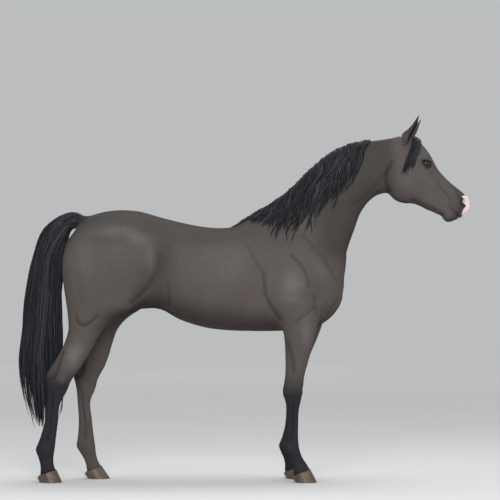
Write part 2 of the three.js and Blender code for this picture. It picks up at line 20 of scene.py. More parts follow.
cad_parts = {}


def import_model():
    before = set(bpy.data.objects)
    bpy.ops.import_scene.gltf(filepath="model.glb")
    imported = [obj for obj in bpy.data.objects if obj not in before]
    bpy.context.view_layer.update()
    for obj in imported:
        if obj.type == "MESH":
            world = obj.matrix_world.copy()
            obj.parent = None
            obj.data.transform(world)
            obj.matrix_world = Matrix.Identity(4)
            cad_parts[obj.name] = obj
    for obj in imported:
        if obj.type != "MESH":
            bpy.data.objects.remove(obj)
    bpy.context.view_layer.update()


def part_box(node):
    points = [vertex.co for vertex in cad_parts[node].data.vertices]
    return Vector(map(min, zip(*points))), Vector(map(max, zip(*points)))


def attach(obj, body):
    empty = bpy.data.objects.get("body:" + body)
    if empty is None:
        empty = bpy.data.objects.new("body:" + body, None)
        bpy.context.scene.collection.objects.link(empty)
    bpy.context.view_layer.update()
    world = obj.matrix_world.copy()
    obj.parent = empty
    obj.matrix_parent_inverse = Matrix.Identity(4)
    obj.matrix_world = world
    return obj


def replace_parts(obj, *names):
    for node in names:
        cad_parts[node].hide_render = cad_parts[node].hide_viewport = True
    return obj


logging.basicConfig(level=logging.INFO, format="%(message)s")
log = logging.getLogger("horse")

Array = np.ndarray
Colour = tuple[float, float, float]
Place = tuple[float, float, float]
Line = tuple[tuple[float, float], ...]
MILLIMETRES = 1000.0
NOISE_LOW, NOISE_HIGH = 0.3, 0.7
FLESH = (
    "trunk", "neck", "head", "ear_right", "ear_left", "tail_dock",
    "leg_hind_right", "leg_hind_left", "leg_fore_right", "leg_fore_left",
)
BAKE_MAP = "OFBake"


class Side(Enum):
    """A side of the animal, as the sign of Y."""

    RIGHT = -1
    LEFT = 1

    @property
    def word(self) -> str:
        """The side's name, as the nodes spell it."""
        return self.name.lower()


# --------------------------------------------------------------------------- the rounded form


@dataclass(frozen=True)
class Rib:
    """One section of a body loft, in drawn millimetres.

    It runs from a point of the side view's outline to the opposite one, and half is half its width.
    """

    x1: float
    z1: float
    x2: float
    z2: float
    half: float
    square: float = 2.2
    lean: float = 0.0
    y: float = 0.0


def ribs_of(*rows: Sequence[float]) -> tuple[Rib, ...]:
    """The ribs of a table: two ends, half the width, how square and how leaning."""
    return tuple(Rib(*row) for row in rows)


def leg_ribs(*rows: Sequence[float]) -> tuple[Rib, ...]:
    """The level ribs of a leg, from a table.

    Args:
        rows: Each rib's height, back, front, middle, half width and, where it is squarer, how square.

    Returns:
        The ribs, in the same order.
    """
    return tuple(Rib(front, z, back, z, half, *square, y=y) for z, back, front, y, half, *square in rows)


def smooth_through(points: Array, steps: int) -> Array:
    """A centripetal curve through points.

    Args:
        points: The points, one a row.
        steps: How many equal steps to take over the whole curve.

    Returns:
        The points of the curve, steps + 1 rows.
    """
    ends = np.vstack([2 * points[0] - points[1], points, 2 * points[-1] - points[-2]])
    gaps = np.maximum(np.sum(np.diff(ends, axis=0) ** 2, axis=1) ** 0.25, 1e-4)
    share = np.linspace(0, len(points) - 1, steps + 1)
    i = np.minimum(share.astype(int), len(points) - 2)
    t = (share - i)[:, None]
    p0, p1, p2, p3 = ends[i], ends[i + 1], ends[i + 2], ends[i + 3]
    d0, d1, d2 = gaps[i][:, None], gaps[i + 1][:, None], gaps[i + 2][:, None]
    m1 = ((p1 - p0) / d0 - (p2 - p0) / (d0 + d1) + (p2 - p1) / d1) * d1
    m2 = ((p2 - p1) / d1 - (p3 - p1) / (d1 + d2) + (p3 - p2) / d2) * d1
    return (
        p1 + m1 * t + (3 * (p2 - p1) - 2 * m1 - m2) * t**2 + (2 * (p1 - p2) + m1 + m2) * t**3
    )


class Loft:
    """A body drawn through ribs, with rounded sections."""

    def __init__(self, ribs: Sequence[Rib], fine: int = 6) -> None:
        """Draws the loft.

        Args:
            ribs: Its sections, in order.
            fine: How many frames to make for each rib.
        """
        steps = (len(ribs) - 1) * fine
        upper = smooth_through(np.array([[r.x1, r.y, r.z1] for r in ribs], float), steps)
        lower = smooth_through(np.array([[r.x2, r.y, r.z2] for r in ribs], float), steps)
        shape = smooth_through(np.array([[r.half, r.square * 100, r.lean * 100] for r in ribs], float), steps)
        self.centre = (upper + lower) / 2
        across = upper - lower
        self.height = np.linalg.norm(across, axis=1) / 2
        self.up = across / (2 * self.height)[:, None]
        onward = np.stack([self.up[:, 2], self.up[:, 1] * 0, -self.up[:, 0]], axis=1)
        middle = steps // 2
        forward = np.dot(self.centre[middle + 1] - self.centre[middle], onward[middle])
        self.onward = onward * (1 if forward > 0 else -1)
        self.half, self.square, self.lean = shape[:, 0], shape[:, 1] / 100, shape[:, 2] / 100
        reach = np.stack([self.half * 0, self.half, self.half * 0], axis=1)
        corners = np.vstack([upper, lower, self.centre + reach, self.centre - reach])
        self.low, self.high = corners.min(0), corners.max(0)

    def at(self, share: Array) -> tuple[Array, Array, Array, Array, Array]:
        """Where the loft runs and how large it is.

        Args:
            share: Shares of the way along it.

        Returns:
            The centre, up, onward, height and half width at each.
        """
        x = np.clip(share, 0, 1) * (len(self.half) - 1)
        steps = np.arange(len(self.half))

        def pick(values: Array) -> Array:
            """One of the loft's lists at the shares.

            Args:
                values: The list, of numbers or of points.

            Returns:
                Its values between the frames.
            """
            if values.ndim == 1:
                return np.interp(x, steps, values)
            return np.stack([np.interp(x, steps, values[:, k]) for k in range(3)], axis=1)

        return pick(self.centre), pick(self.up), pick(self.onward), pick(self.height), pick(self.half)

    def distance(self, p: Array) -> Array:
        """Roughly how far points lie outside the loft, and under 0 inside it.

        Args:
            p: The points.

        Returns:
            The distances, which are exact enough only near the loft.
        """
        apart = np.linalg.norm(np.maximum(np.maximum(self.low - p, p - self.high), 0), axis=1)
        out = np.maximum(apart, 100.0)
        near = np.flatnonzero(apart < 110)
        if len(near):
            out[near] = self._near(p[near])
        return out

    def _near(self, p: Array) -> Array:
        """The distance of points that lie close to the loft.

        Args:
            p: The points.

        Returns:
            How far outside the loft each lies.
        """
        best = np.full(len(p), np.inf)
        behind = self._ahead(0, p)
        before = behind < 0
        best[before] = np.maximum(self._across(0, p[before]), -behind[before])
        for i in range(1, len(self.half)):
            ahead = self._ahead(i, p)
            hit = np.flatnonzero((behind >= 0) & (ahead < 0))
            if len(hit):
                share = behind[hit] / (behind[hit] - ahead[hit])
                near, far = self._across(i - 1, p[hit]), self._across(i, p[hit])
                best[hit] = np.minimum(best[hit], near + (far - near) * share)
            behind = ahead
        after = behind >= 0
        best[after] = np.minimum(best[after], np.maximum(self._across(-1, p[after]), behind[after]))
        return best

    def _ahead(self, i: int, p: Array) -> Array:
        """How far points lie beyond a frame."""
        dx, dz = p[:, 0] - self.centre[i, 0], p[:, 2] - self.centre[i, 2]
        return dx * self.onward[i, 0] + dz * self.onward[i, 2]

    def _across(self, i: int, p: Array) -> Array:
        """How far points lie outside a frame's section.

        Args:
            i: The frame's number.
            p: The points.

        Returns:
            The distances, under 0 inside the section.
        """
        h = self.height[i]
        dx, y, dz = p[:, 0] - self.centre[i, 0], p[:, 1] - self.centre[i, 1], p[:, 2] - self.centre[i, 2]
        v = (dx * self.up[i, 0] + dz * self.up[i, 2]) / h
        u = y / (self.half[i] * (1 + self.lean[i] * np.clip(v, -1, 1)))
        n = self.square[i]
        rho = np.maximum((np.abs(u) ** n + np.abs(v) ** n) ** (1 / n), 0.05)
        return np.hypot(y, v * h) * (1 - 1 / rho)


def blend(a: Array, b: Array, size: float) -> Array:
    """Joins the distances from two bodies with a fillet of about the given size."""
    share = np.maximum(size - np.abs(a - b), 0) / size
    return np.minimum(a, b) - share * share * size / 4


def ellipsoid(p: Array, centre: Sequence[float], radii: Sequence[float]) -> Array:
    """Roughly how far points lie outside an ellipsoid.

    Args:
        p: The points.
        centre: Its middle.
        radii: Half its size along each axis.

    Returns:
        The distances, under 0 inside it.
    """
    q, r = p - np.array(centre, float), np.array(radii, float)
    whole, slope = np.linalg.norm(q / r, axis=1), np.linalg.norm(q / r**2, axis=1)
    return whole * (whole - 1) / np.maximum(slope, 1e-6)


def ease(x: Array, low: float, high: float) -> Array:
    """0 up to low, 1 from high, and smooth between them; low may be the larger."""
    t = np.clip((x - low) / (high - low), 0, 1)
    return t * t * (3 - 2 * t)


def bell(x: Array) -> Array:
    """1 at 0, falling off smoothly on both sides, to about a third at 1."""
    return np.exp(-(x**2))


def sign_of(name: str) -> int:
    """The sign of Y on the side that a leg's name ends with."""
    return -1 if name.endswith("right") else 1


@dataclass(frozen=True)
class Swell:
    """A soft swelling of the side view, or a hollow where rise is under 0, on both sides of the body."""

    x: float
    y: float
    z: float
    rise: float
    long: float
    high: float
    turn: float = 0.0


def swells_of(*rows: Sequence[float]) -> tuple[Swell, ...]:
    """The swells of a table."""
    return tuple(Swell(*row) for row in rows)


def spread_of(dx: Array, dz: Array, long: float, high: float, turn: float) -> Array:
    """How far out points lie in a turned oval of the side view.

    Args:
        dx: How far forward of its middle they lie.
        dz: How far above its middle they lie.
        long: Half its length.
        high: Half its height.
        turn: How far its length is turned up from level, in degrees.

    Returns:
        The square of the share of the way out: 1 on the oval.
    """
    cos, sin = math.cos(math.radians(turn)), math.sin(math.radians(turn))
    return ((dx * cos + dz * sin) / long) ** 2 + ((dz * cos - dx * sin) / high) ** 2


@dataclass(frozen=True)
class Stance:
    """How far forward a leg stands at a few heights, counted from the leg as it is drawn."""

    steps: Line

    def forward(self, z: Array) -> Array:
        """How far forward the leg stands.

        Args:
            z: Heights, in drawn millimetres.

        Returns:
            The distance at each height.
        """
        heights = np.array([s[0] for s in self.steps], float)
        moves = np.array([s[1] for s in self.steps], float)
        return np.interp(z, heights[::-1], moves[::-1])


STANCES: dict[str, Stance] = {
    "hind_right": Stance(((1200, 0), (600, 8), (0, 9))),
    "hind_left": Stance(((1200, 0), (788, 88), (622, 134), (400, 166), (233, 206), (120, 236), (0, 262))),
    "fore_right": Stance(((1000, 0), (500, -2), (0, -2))),
    "fore_left": Stance(((920, 40), (700, 12), (510, 2), (190, -22), (90, -46), (0, -46))),
}
# Each pair's coronet in the side view, as the heel's x and z and then the toe's.
CORONETS = {"hind": (-1158, 44, -1046, 80), "fore": (256, 46, 362, 82)}
# How far from the middle of the animal each pair of legs stands.
LEG_MIDDLE = {"hind": 120, "fore": 118}
# Each pair's soles: the heel's x, the toe's x and the width.
SOLES = {"hind": (-1136.0, -1014.0, 121.0), "fore": (280.0, 400.0, 125.0)}


@dataclass
class Form:
    """The horse's flesh as one rounded form, in drawn millimetres, with the same sizes as the solids."""

    floor: float = 10.0
    toe: float = 398.0
    eye: Place = (1001.0, 71.0, 1766.0)
    eye_radius: float = 29.0
    frames_per_rib: int = 5
    swell_width: float = 70.0
    trunk_ribs: tuple[Rib, ...] = ribs_of(
        (-1003, 1262, -1003, 1130, 50), (-975, 1350, -975, 1060, 110),
        (-925, 1418, -925, 1000, 165, 2.3), (-860, 1474, -860, 965, 205, 2.3),
        (-780, 1500, -780, 948, 228, 2.3), (-690, 1510, -690, 948, 240, 2.3, -0.05),
        (-583, 1502, -583, 960, 243, 2.3, -0.08), (-472, 1471, -472, 960, 236, 2.3, -0.1),
        (-361, 1443, -361, 902, 250, 2.25, -0.1), (-222, 1418, -222, 858, 260, 2.2, -0.12),
        (-83, 1418, -83, 841, 250, 2.15, -0.16), (28, 1462, 28, 838, 226, 2.1, -0.28),
        (120, 1480, 120, 837, 202, 2.05, -0.34), (222, 1462, 222, 840, 186, 2.1, -0.3),
        (333, 1405, 333, 852, 168, 2.2, -0.12), (430, 1330, 430, 880, 142), (505, 1275, 505, 945, 102),
        (545, 1230, 545, 1030, 58),
    )
    neck_ribs: tuple[Rib, ...] = ribs_of(
        (28, 1430, 400, 1000, 150, 2.2, -0.25), (90, 1490, 535, 1135, 134, 2.2, -0.3),
        (166, 1545, 560, 1258, 112, 2.2, -0.32), (250, 1615, 584, 1335, 93, 2.2, -0.32),
        (335, 1704, 608, 1400, 79, 2.2, -0.3), (430, 1794, 640, 1488, 70, 2.2, -0.28),
        (530, 1853, 688, 1556, 64, 2.2, -0.24), (638, 1884, 738, 1592, 62, 2.2, -0.2),
        (740, 1898, 790, 1606, 64, 2.2, -0.15), (850, 1908, 840, 1625, 64, 2.2, -0.1),
    )
    head_ribs: tuple[Rib, ...] = ribs_of(
        (862, 1905, 790, 1690, 54, 2.2, -0.1), (905, 1914, 782, 1640, 66, 2.2, -0.05),
        (951, 1903, 802, 1596, 80, 2.4, 0.05), (988, 1870, 838, 1562, 89, 2.6, 0.16),
        (1020, 1828, 878, 1548, 90, 2.7, 0.2), (1046, 1782, 921, 1546, 80, 2.7, 0.14),
        (1071, 1738, 962, 1535, 67, 2.6, 0.05), (1105, 1698, 1010, 1511, 56, 2.5, -0.04),
        (1148, 1657, 1056, 1492, 49, 2.4, -0.1), (1185, 1627, 1090, 1468, 48, 2.3, -0.12),
        (1217, 1600, 1120, 1447, 49, 2.3), (1238, 1578, 1165, 1454, 44, 2.3),
        (1247, 1552, 1210, 1482, 33), (1249, 1536, 1230, 1500, 20),
    )
    hind_ribs: tuple[Rib, ...] = leg_ribs(
        (1390, -930, -560, 105, 80), (1288, -985, -525, 118, 118), (1190, -1003, -512, 126, 130),
        (1090, -996, -540, 130, 124), (990, -984, -596, 131, 108), (905, -976, -725, 130, 90),
        (844, -977, -788, 128, 77), (760, -1006, -838, 126, 62), (677, -1052, -888, 123, 50),
        (615, -1092, -930, 121, 46, 2.5), (566, -1096, -962, 120, 44, 2.5),
        (505, -1094, -990, 120, 37, 2.4), (440, -1099, -1024, 120, 28), (344, -1112, -1035, 120, 25),
        (250, -1138, -1047, 120, 29), (190, -1158, -1054, 120, 35), (140, -1143, -1061, 120, 30),
        (95, -1134, -1056, 120, 33), (50, -1136, -1030, 120, 42),
    )
    fore_ribs: tuple[Rib, ...] = leg_ribs(
        (985, 150, 420, 112, 78), (920, 176, 408, 116, 76), (860, 207, 398, 119, 70),
        (788, 218, 380, 120, 62), (700, 223, 354, 119, 51), (610, 223, 335, 118, 44),
        (550, 216, 324, 118, 43, 2.5), (500, 210, 319, 118, 43, 2.6), (455, 224, 311, 118, 35, 2.4),
        (410, 234, 301, 118, 26), (316, 236, 297, 118, 23), (250, 226, 297, 118, 26),
        (192, 213, 304, 118, 33), (148, 239, 319, 118, 28), (100, 265, 350, 118, 32),
        (50, 268, 376, 118, 42),
    )
    dock_ribs: tuple[Rib, ...] = ribs_of(
        (-800, 1462, -860, 1340, 60), (-868, 1474, -896, 1385, 44), (-912, 1484, -922, 1414, 34),
        (-950, 1485, -954, 1420, 29), (-1010, 1468, -985, 1405, 26), (-1070, 1425, -1030, 1375, 22),
    )
    swells: tuple[Swell, ...] = swells_of(
        (290, 190, 1040, 16, 95, 125, -20), (190, 190, 1240, 12, 70, 190, -28),
        (380, 150, 1130, 12, 70, 90), (70, 200, 1080, -10, 45, 150, -20), (470, 60, 1080, 12, 60, 120),
        (530, 0, 1080, -10, 50, 110), (-560, 235, 1390, 14, 60, 50), (-470, 235, 1290, -26, 60, 80),
        (-520, 220, 1110, -14, 45, 120, -15), (-760, 250, 1230, 12, 130, 140, 20),
        (-930, 130, 1180, 10, 60, 150), (-700, 190, 985, 14, 80, 60), (-200, 250, 1080, 8, 220, 160),
        (-60, 60, 1425, -8, 160, 40), (560, 75, 1640, -7, 130, 26, 48),
        (520, 62, 1790, 5, 150, 45, 38), (300, 110, 1450, -8, 90, 120, 40),
        (880, 60, 1660, 13, 62, 58), (862, 24, 1916, 11, 64, 34), (998, 84, 1775, 9, 34, 28),
        (960, 70, 1838, -7, 26, 24), (1052, 62, 1662, 6, 75, 14, -50),
        (1100, 50, 1640, -5, 60, 24, -46), (1060, 50, 1590, -4, 70, 24, -40),
        (1206, 46, 1556, 10, 26, 24, -40), (1150, 40, 1510, -4, 30, 14, -40),
        (1108, 20, 1478, 5, 24, 18),
    )

    def __post_init__(self) -> None:
        """Draws the lofts, and finds where the drawn millimetres lie in the row frame."""
        self.trunk, self.neck = Loft(self.trunk_ribs), Loft(self.neck_ribs, self.frames_per_rib)
        self.head, self.dock = Loft(self.head_ribs), Loft(self.dock_ribs)
        self.legs = {name: self._leg(name, stance) for name, stance in STANCES.items()}
        shift = self.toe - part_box("hoof_fore_right")[1].x * MILLIMETRES
        self.origin = np.array([shift, 0.0, self.floor])

    def _leg(self, name: str, stance: Stance) -> Loft:
        """One leg's loft, in its stance and on its side.

        Args:
            name: The leg's name.
            stance: How far forward it stands.

        Returns:
            The loft.
        """
        ribs = self.hind_ribs if name.startswith("hind") else self.fore_ribs
        steps = stance.forward(np.array([r.z1 for r in ribs])).tolist()
        moved = [
            replace(r, x1=r.x1 + step, x2=r.x2 + step, y=sign_of(name) * r.y) for r, step in zip(ribs, steps)
        ]
        return Loft(moved, self.frames_per_rib)

    def drawn(self, co: Array) -> Array:
        """Points of the row frame, in metres, as drawn millimetres."""
        return co * MILLIMETRES + self.origin

    def placed(self, p: Array) -> Array:
        """Drawn millimetres as points of the row frame, in metres."""
        return (np.asarray(p, float) - self.origin) / MILLIMETRES

    def distance(self, p: Array) -> Array:
        """How far points lie outside the flesh, and under 0 inside it.

        Args:
            p: The points, in drawn millimetres.

        Returns:
            The distances, rough away from the surface.
        """
        d = blend(self.trunk.distance(p), self.neck.distance(p), 60)
        d = blend(d, self.head.distance(p), 24)
        near = np.flatnonzero(p[:, 0] > 1050)
        if len(near):
            lip = ellipsoid(p[near], (1211, 0, 1530), (40, 38, 44))
            d[near] = blend(d[near], lip, 14)
        for name, loft in self.legs.items():
            d = blend(d, loft.distance(p), 46 if name.startswith("hind") else 50)
        d = blend(d, self.dock.distance(p), 22)
        d = d - self.lift(p)
        for name in STANCES:
            d = np.maximum(d, self.below_coronet(name, p))
        return d

    def lift(self, p: Array) -> Array:
        """How much the swellings raise the surface.

        Args:
            p: The points, in drawn millimetres.

        Returns:
            The rise at each, under 0 in a hollow.
        """
        total = np.zeros(len(p))
        for s in self.swells:
            flat = spread_of(p[:, 0] - s.x, p[:, 2] - s.z, s.long, s.high, s.turn)
            near = np.flatnonzero(flat < 9)
            wide = (np.abs(p[near, 1]) - s.y) / self.swell_width
            total[near] += s.rise * np.exp(-flat[near] - wide * wide)
        return total

    def below_coronet(self, name: str, p: Array, lower: float = 3.0) -> Array:
        """How far points lie under a leg's coronet.

        Args:
            name: The leg's name.
            p: The points, in drawn millimetres.
            lower: How far the flesh reaches down behind the hoof's edge.

        Returns:
            The distances, and a large negative number away from that leg.
        """
        heel_x, heel_z, toe_x, toe_z = CORONETS[name.split("_")[0]]
        stance = STANCES[name].forward(np.array([heel_z, toe_z]))
        a = np.array([heel_x + stance[0], heel_z - lower])
        b = np.array([toe_x + stance[1], toe_z - lower])
        n = np.array([a[1] - b[1], b[0] - a[0]]) / np.hypot(*(b - a))
        low = (p[:, 1] * sign_of(name) > 20) & (p[:, 2] < 160)
        near = low & (np.abs(p[:, 0] - (a[0] + b[0]) / 2) < 140)
        return np.where(near, -((p[:, 0] - a[0]) * n[0] + (p[:, 2] - a[1]) * n[1]), -500.0)


# --------------------------------------------------------------------------- mesh helpers


def unit(v: Array) -> Array:
    """Vectors made one long, along the last axis."""
    return v / np.maximum(np.linalg.norm(v, axis=-1, keepdims=True), 1e-9)


def deselect() -> None:
    """Leaves nothing selected."""
    for o in bpy.context.selected_objects:
        o.select_set(False)


def choose(obj: bpy.types.Object) -> None:
    """Makes an object the only one selected, and the active one.

    Args:
        obj: The object.
    """
    deselect()
    obj.select_set(True)
    bpy.context.view_layer.objects.active = obj


def points_of(obj: bpy.types.Object) -> Array:
    """An object's vertices, one a row.

    Args:
        obj: The object.

    Returns:
        Their places.
    """
    co = np.empty(len(obj.data.vertices) * 3, np.float32)
    obj.data.vertices.foreach_get("co", co)
    return co.reshape(-1, 3).astype(float)


def put_points(obj: bpy.types.Object, co: Array) -> None:
    """Moves an object's vertices."""
    obj.data.vertices.foreach_set("co", co.astype(np.float32).ravel())
    obj.data.update()


def normals_of(obj: bpy.types.Object) -> Array:
    """An object's vertex normals, one a row.

    Args:
        obj: The object.

    Returns:
        Directions, one long.
    """
    n = np.empty(len(obj.data.vertices) * 3, np.float32)
    obj.data.vertex_normals.foreach_get("vector", n)
    return n.reshape(-1, 3).astype(float)


def edges_of(obj: bpy.types.Object) -> Array:
    """An object's edges as pairs of vertex numbers.

    Args:
        obj: The object.

    Returns:
        The pairs, one a row.
    """
    e = np.empty(len(obj.data.edges) * 2, np.int32)
    obj.data.edges.foreach_get("vertices", e)
    return e.reshape(-1, 2)


def relax(co: Array, edges: Array, weight: Array, times: int) -> Array:
    """Evens out vertices along a mesh's edges.

    Args:
        co: The vertices.
        edges: Pairs of vertex numbers.
        weight: How much each vertex moves, from 0 to 1.
        times: How often.

    Returns:
        The new vertices.
    """
    count = np.bincount(edges.ravel(), minlength=len(co)).astype(float)
    count[count == 0] = 1
    a, b = edges[:, 0], edges[:, 1]
    for _ in range(times):
        total = np.zeros_like(co)
        for k in range(3):
            total[:, k] = np.bincount(a, co[b, k], len(co)) + np.bincount(b, co[a, k], len(co))
        co = co + (total / count[:, None] - co) * weight[:, None]
    return co


def shade(obj: bpy.types.Object, smooth: bool = True) -> None:
    """Shades all of an object's faces smooth, or all flat."""
    obj.data.polygons.foreach_set("use_smooth", np.full(len(obj.data.polygons), smooth))
    obj.data.update()


def face_outward(obj: bpy.types.Object) -> None:
    """Turns all the faces of a closed mesh outward.

    Args:
        obj: The mesh object.
    """
    choose(obj)
    bpy.ops.object.mode_set(mode="EDIT")
    bpy.ops.mesh.select_all(action="SELECT")
    bpy.ops.mesh.normals_make_consistent(inside=False)
    bpy.ops.object.mode_set(mode="OBJECT")


def new_object(
    name: str, co: Array, faces: Array | Sequence[Sequence[int]], smooth: bool = True,
) -> bpy.types.Object:
    """A mesh object from vertices and faces.

    Args:
        name: The piece's name.
        co: Its vertices, in the row frame.
        faces: Its faces: an array with three or four numbers a row, or a list of lists.
        smooth: Whether it is shaded smooth.

    Returns:
        The new object, in the scene.
    """
    mesh = bpy.data.meshes.new(name)
    if isinstance(faces, np.ndarray):
        sides = faces.shape[1]
        mesh.vertices.add(len(co))
        mesh.vertices.foreach_set("co", np.asarray(co, np.float32).ravel())
        mesh.loops.add(faces.size)
        mesh.loops.foreach_set("vertex_index", faces.astype(np.int32).ravel())
        mesh.polygons.add(len(faces))
        mesh.polygons.foreach_set("loop_start", np.arange(0, faces.size, sides, dtype=np.int32))
        mesh.update(calc_edges=True)
    else:
        mesh.from_pydata([tuple(v) for v in co], [], [list(f) for f in faces])
    obj = bpy.data.objects.new(name, mesh)
    bpy.context.scene.collection.objects.link(obj)
    shade(obj, smooth)
    return obj


def apply_modifier(obj: bpy.types.Object, kind: str, **settings: object) -> None:
    """Adds a modifier to an object and applies it.

    Args:
        obj: The object.
        kind: The modifier's type.
        settings: Its properties.
    """
    choose(obj)
    modifier = obj.modifiers.new("step", kind)
    for key, value in settings.items():
        setattr(modifier, key, value)
    bpy.ops.object.modifier_apply(modifier=modifier.name)


def set_colours(obj: bpy.types.Object, name: str, colours: Array) -> None:
    """Stores a colour for each vertex.

    Args:
        obj: The object.
        name: What the material calls the colours.
        colours: Linear red, green and blue, one vertex a row.
    """
    attribute = obj.data.attributes.new(name, "FLOAT_COLOR", "POINT")
    full = np.ones((len(colours), 4), np.float32)
    full[:, :3] = colours
    attribute.data.foreach_set("color", full.ravel())


def set_values(obj: bpy.types.Object, name: str, values: Array) -> None:
    """Stores a number for each vertex."""
    attribute = obj.data.attributes.new(name, "FLOAT", "POINT")
    attribute.data.foreach_set("value", values.astype(np.float32))


def linear(*srgb: float) -> Array:
    """A colour given from 0 to 255, as linear light."""
    c = np.array(srgb, float) / 255
    return np.where(c <= 0.04045, c / 12.92, ((c + 0.055) / 1.055) ** 2.4)


# --------------------------------------------------------------------------- shading


class Value:
    """A socket of a material's nodes that Python's operators work on."""

    def __init__(self, paint: "Paint", socket: bpy.types.NodeSocket) -> None:
        """Holds the socket of a material."""
        self.paint, self.socket = paint, socket

    def _math(self, operation: str, *others: "Value | float") -> "Value":
        """A Math node on this value and others."""
        return self.paint.node("ShaderNodeMath", {"operation": operation}, [self, *others])

    def __add__(self, other: "Value | float") -> "Value":
        """This value plus another."""
        return self._math("ADD", other)

    __radd__ = __add__

    def __mul__(self, other: "Value | float") -> "Value":
        """This value times another."""
        return self._math("MULTIPLY", other)

    __rmul__ = __mul__

    def __sub__(self, other: "Value | float") -> "Value":
        """This value less another."""
        return self._math("SUBTRACT", other)

    def __rsub__(self, other: float) -> "Value":
        """A number less this value."""
        return self.paint.node("ShaderNodeMath", {"operation": "SUBTRACT"}, [other, self])

    def __pow__(self, power: float) -> "Value":
        """This value raised to a power."""
        return self._math("POWER", power)

    def spread(self, low: float, high: float, to_low: float = 0.0, to_high: float = 1.0) -> "Value":
        """This value mapped smoothly from one range onto another."""
        settings = {"interpolation_type": "SMOOTHSTEP"}
        return self.paint.node("ShaderNodeMapRange", settings, [self, low, high, to_low, to_high])

    def vary(self, to_low: float = 0.0, to_high: float = 1.0) -> "Value":
        """A noise's usual range mapped smoothly onto another."""
        return self.spread(NOISE_LOW, NOISE_HIGH, to_low, to_high)


class Paint:
    """A material being made, with one method that adds any node."""

    def __init__(self, name: str) -> None:
        """Starts a material with a principled shader.

        Args:
            name: The material's name.
        """
        self.material = bpy.data.materials.new(name)
        self.material.use_nodes = True
        self.tree = self.material.node_tree
        self.shader = self.tree.nodes["Principled BSDF"]

    def node(
        self, kind: str, settings: dict[str, object] | None = None,
        inputs: Sequence[object] | dict[int | str, object] = (), output: int | str = 0,
    ) -> Value:
        """Adds a node.

        Args:
            kind: The node's type.
            settings: Properties to set first, such as an operation.
            inputs: Values or links for its sockets, in order or by name.
            output: Which output to hand back.

        Returns:
            The output, as a value.
        """
        made = self.tree.nodes.new(kind)
        for key, value in (settings or {}).items():
            setattr(made, key, value)
        pairs = inputs.items() if isinstance(inputs, dict) else enumerate(inputs)
        for key, value in pairs:
            self._put(made.inputs[key], value)
        return Value(self, made.outputs[output])

    def _put(self, socket: bpy.types.NodeSocket, value: object) -> None:
        """Links a value to a socket, or sets the socket to a constant.

        Args:
            socket: The socket.
            value: The value or the constant.
        """
        if isinstance(value, Value):
            self.tree.links.new(value.socket, socket)
        else:
            socket.default_value = value

    def place(self) -> Value:
        """The point on the object."""
        return self.node("ShaderNodeTexCoord", output="Object")

    def stretched(self, scale: Sequence[float]) -> Value:
        """The point on the object, scaled along each axis."""
        return self.node("ShaderNodeMapping", None, {"Vector": self.place(), "Scale": tuple(scale)})

    def noise(self, at: Value, scale: float, detail: float = 4.0, rough: float = 0.55) -> Value:
        """Fractal noise from 0 to 1."""
        inputs = {"Vector": at, "Scale": scale, "Detail": detail, "Roughness": rough}
        return self.node("ShaderNodeTexNoise", None, inputs)

    def stored(self, name: str, output: str = "Color") -> Value:
        """A colour or a number that the mesh carries."""
        return self.node("ShaderNodeAttribute", {"attribute_name": name}, output=output)

    def mix(self, share: Value | float, a: object, b: object, how: str = "MIX") -> Value:
        """Two colours mixed by a share.

        Args:
            share: The share of the second colour.
            a: The first colour: a value, or red, green and blue.
            b: The second.
            how: The blend type.

        Returns:
            The mixed colour.
        """
        settings = {"data_type": "RGBA", "blend_type": how, "clamp_factor": True}
        a, b = (c if isinstance(c, Value) else (*c, 1.0) for c in (a, b))
        return self.node("ShaderNodeMix", settings, {0: share, 6: a, 7: b}, 2)

    def between(self, share: Value | float, dark: Sequence[float], pale: Sequence[float]) -> Value:
        """Two plain colours, each given from 0 to 255, mixed by a share."""
        return self.mix(share, tuple(linear(*dark)), tuple(linear(*pale)))

    def lit(self, colour: Value, light: Value) -> Value:
        """A colour made lighter or darker by a value round 1."""
        grey = self.node("ShaderNodeCombineColor", None, [light, light, light])
        return self.mix(1.0, colour, grey, "MULTIPLY")

    def bump(self, height: Value, strength: float, depth: float) -> Value:
        """A bump from a height."""
        inputs = {"Height": height, "Strength": strength, "Distance": depth}
        return self.node("ShaderNodeBump", None, inputs)

    def feed(self, **sockets: object) -> bpy.types.Material:
        """Sets or links the shader's own sockets.

        Args:
            sockets: A value or a constant for each, named with _ for a space.

        Returns:
            The finished material.
        """
        for key, value in sockets.items():
            self._put(self.shader.inputs[key.replace("_", " ")], value)
        return self.material


def dress(obj: bpy.types.Object, material: bpy.types.Material) -> None:
    """Gives an object one material."""
    obj.data.materials.clear()
    obj.data.materials.append(material)


@dataclass(frozen=True)
class CoatFinish:
    """A short dense coat: a stored colour, and fine hairs along the lie."""

    name: str = "short_coat"
    roughness: float = 0.52
    hair_depth: float = 0.0011

    def make(self) -> bpy.types.Material:
        """Makes the material.

        Returns:
            The material.
        """
        p = Paint(self.name)
        leg = p.stored("leg_share", "Fac")
        bare = p.stored("bare_share", "Fac")
        along = p.noise(p.stretched((70, 700, 320)), 1.0, 3.0, 0.6)
        down = p.noise(p.stretched((700, 700, 70)), 1.0, 3.0, 0.6)
        hairs = along * (1 - leg) + down * leg
        patches = p.noise(p.place(), 5.0, 3.0)
        pores = p.noise(p.place(), 900.0, 2.0)
        light = hairs.vary(0.86, 1.14) * patches.vary(0.94, 1.06)
        colour = p.lit(p.stored("coat_colour"), light)
        height = hairs * (1 - bare) + pores * bare
        rough = hairs.vary(self.roughness - 0.06, self.roughness + 0.06) - bare * 0.1
        return p.feed(
            Base_Color=colour, Roughness=rough, Normal=p.bump(height, 0.55, self.hair_depth),
            Specular_IOR_Level=0.06,
        )


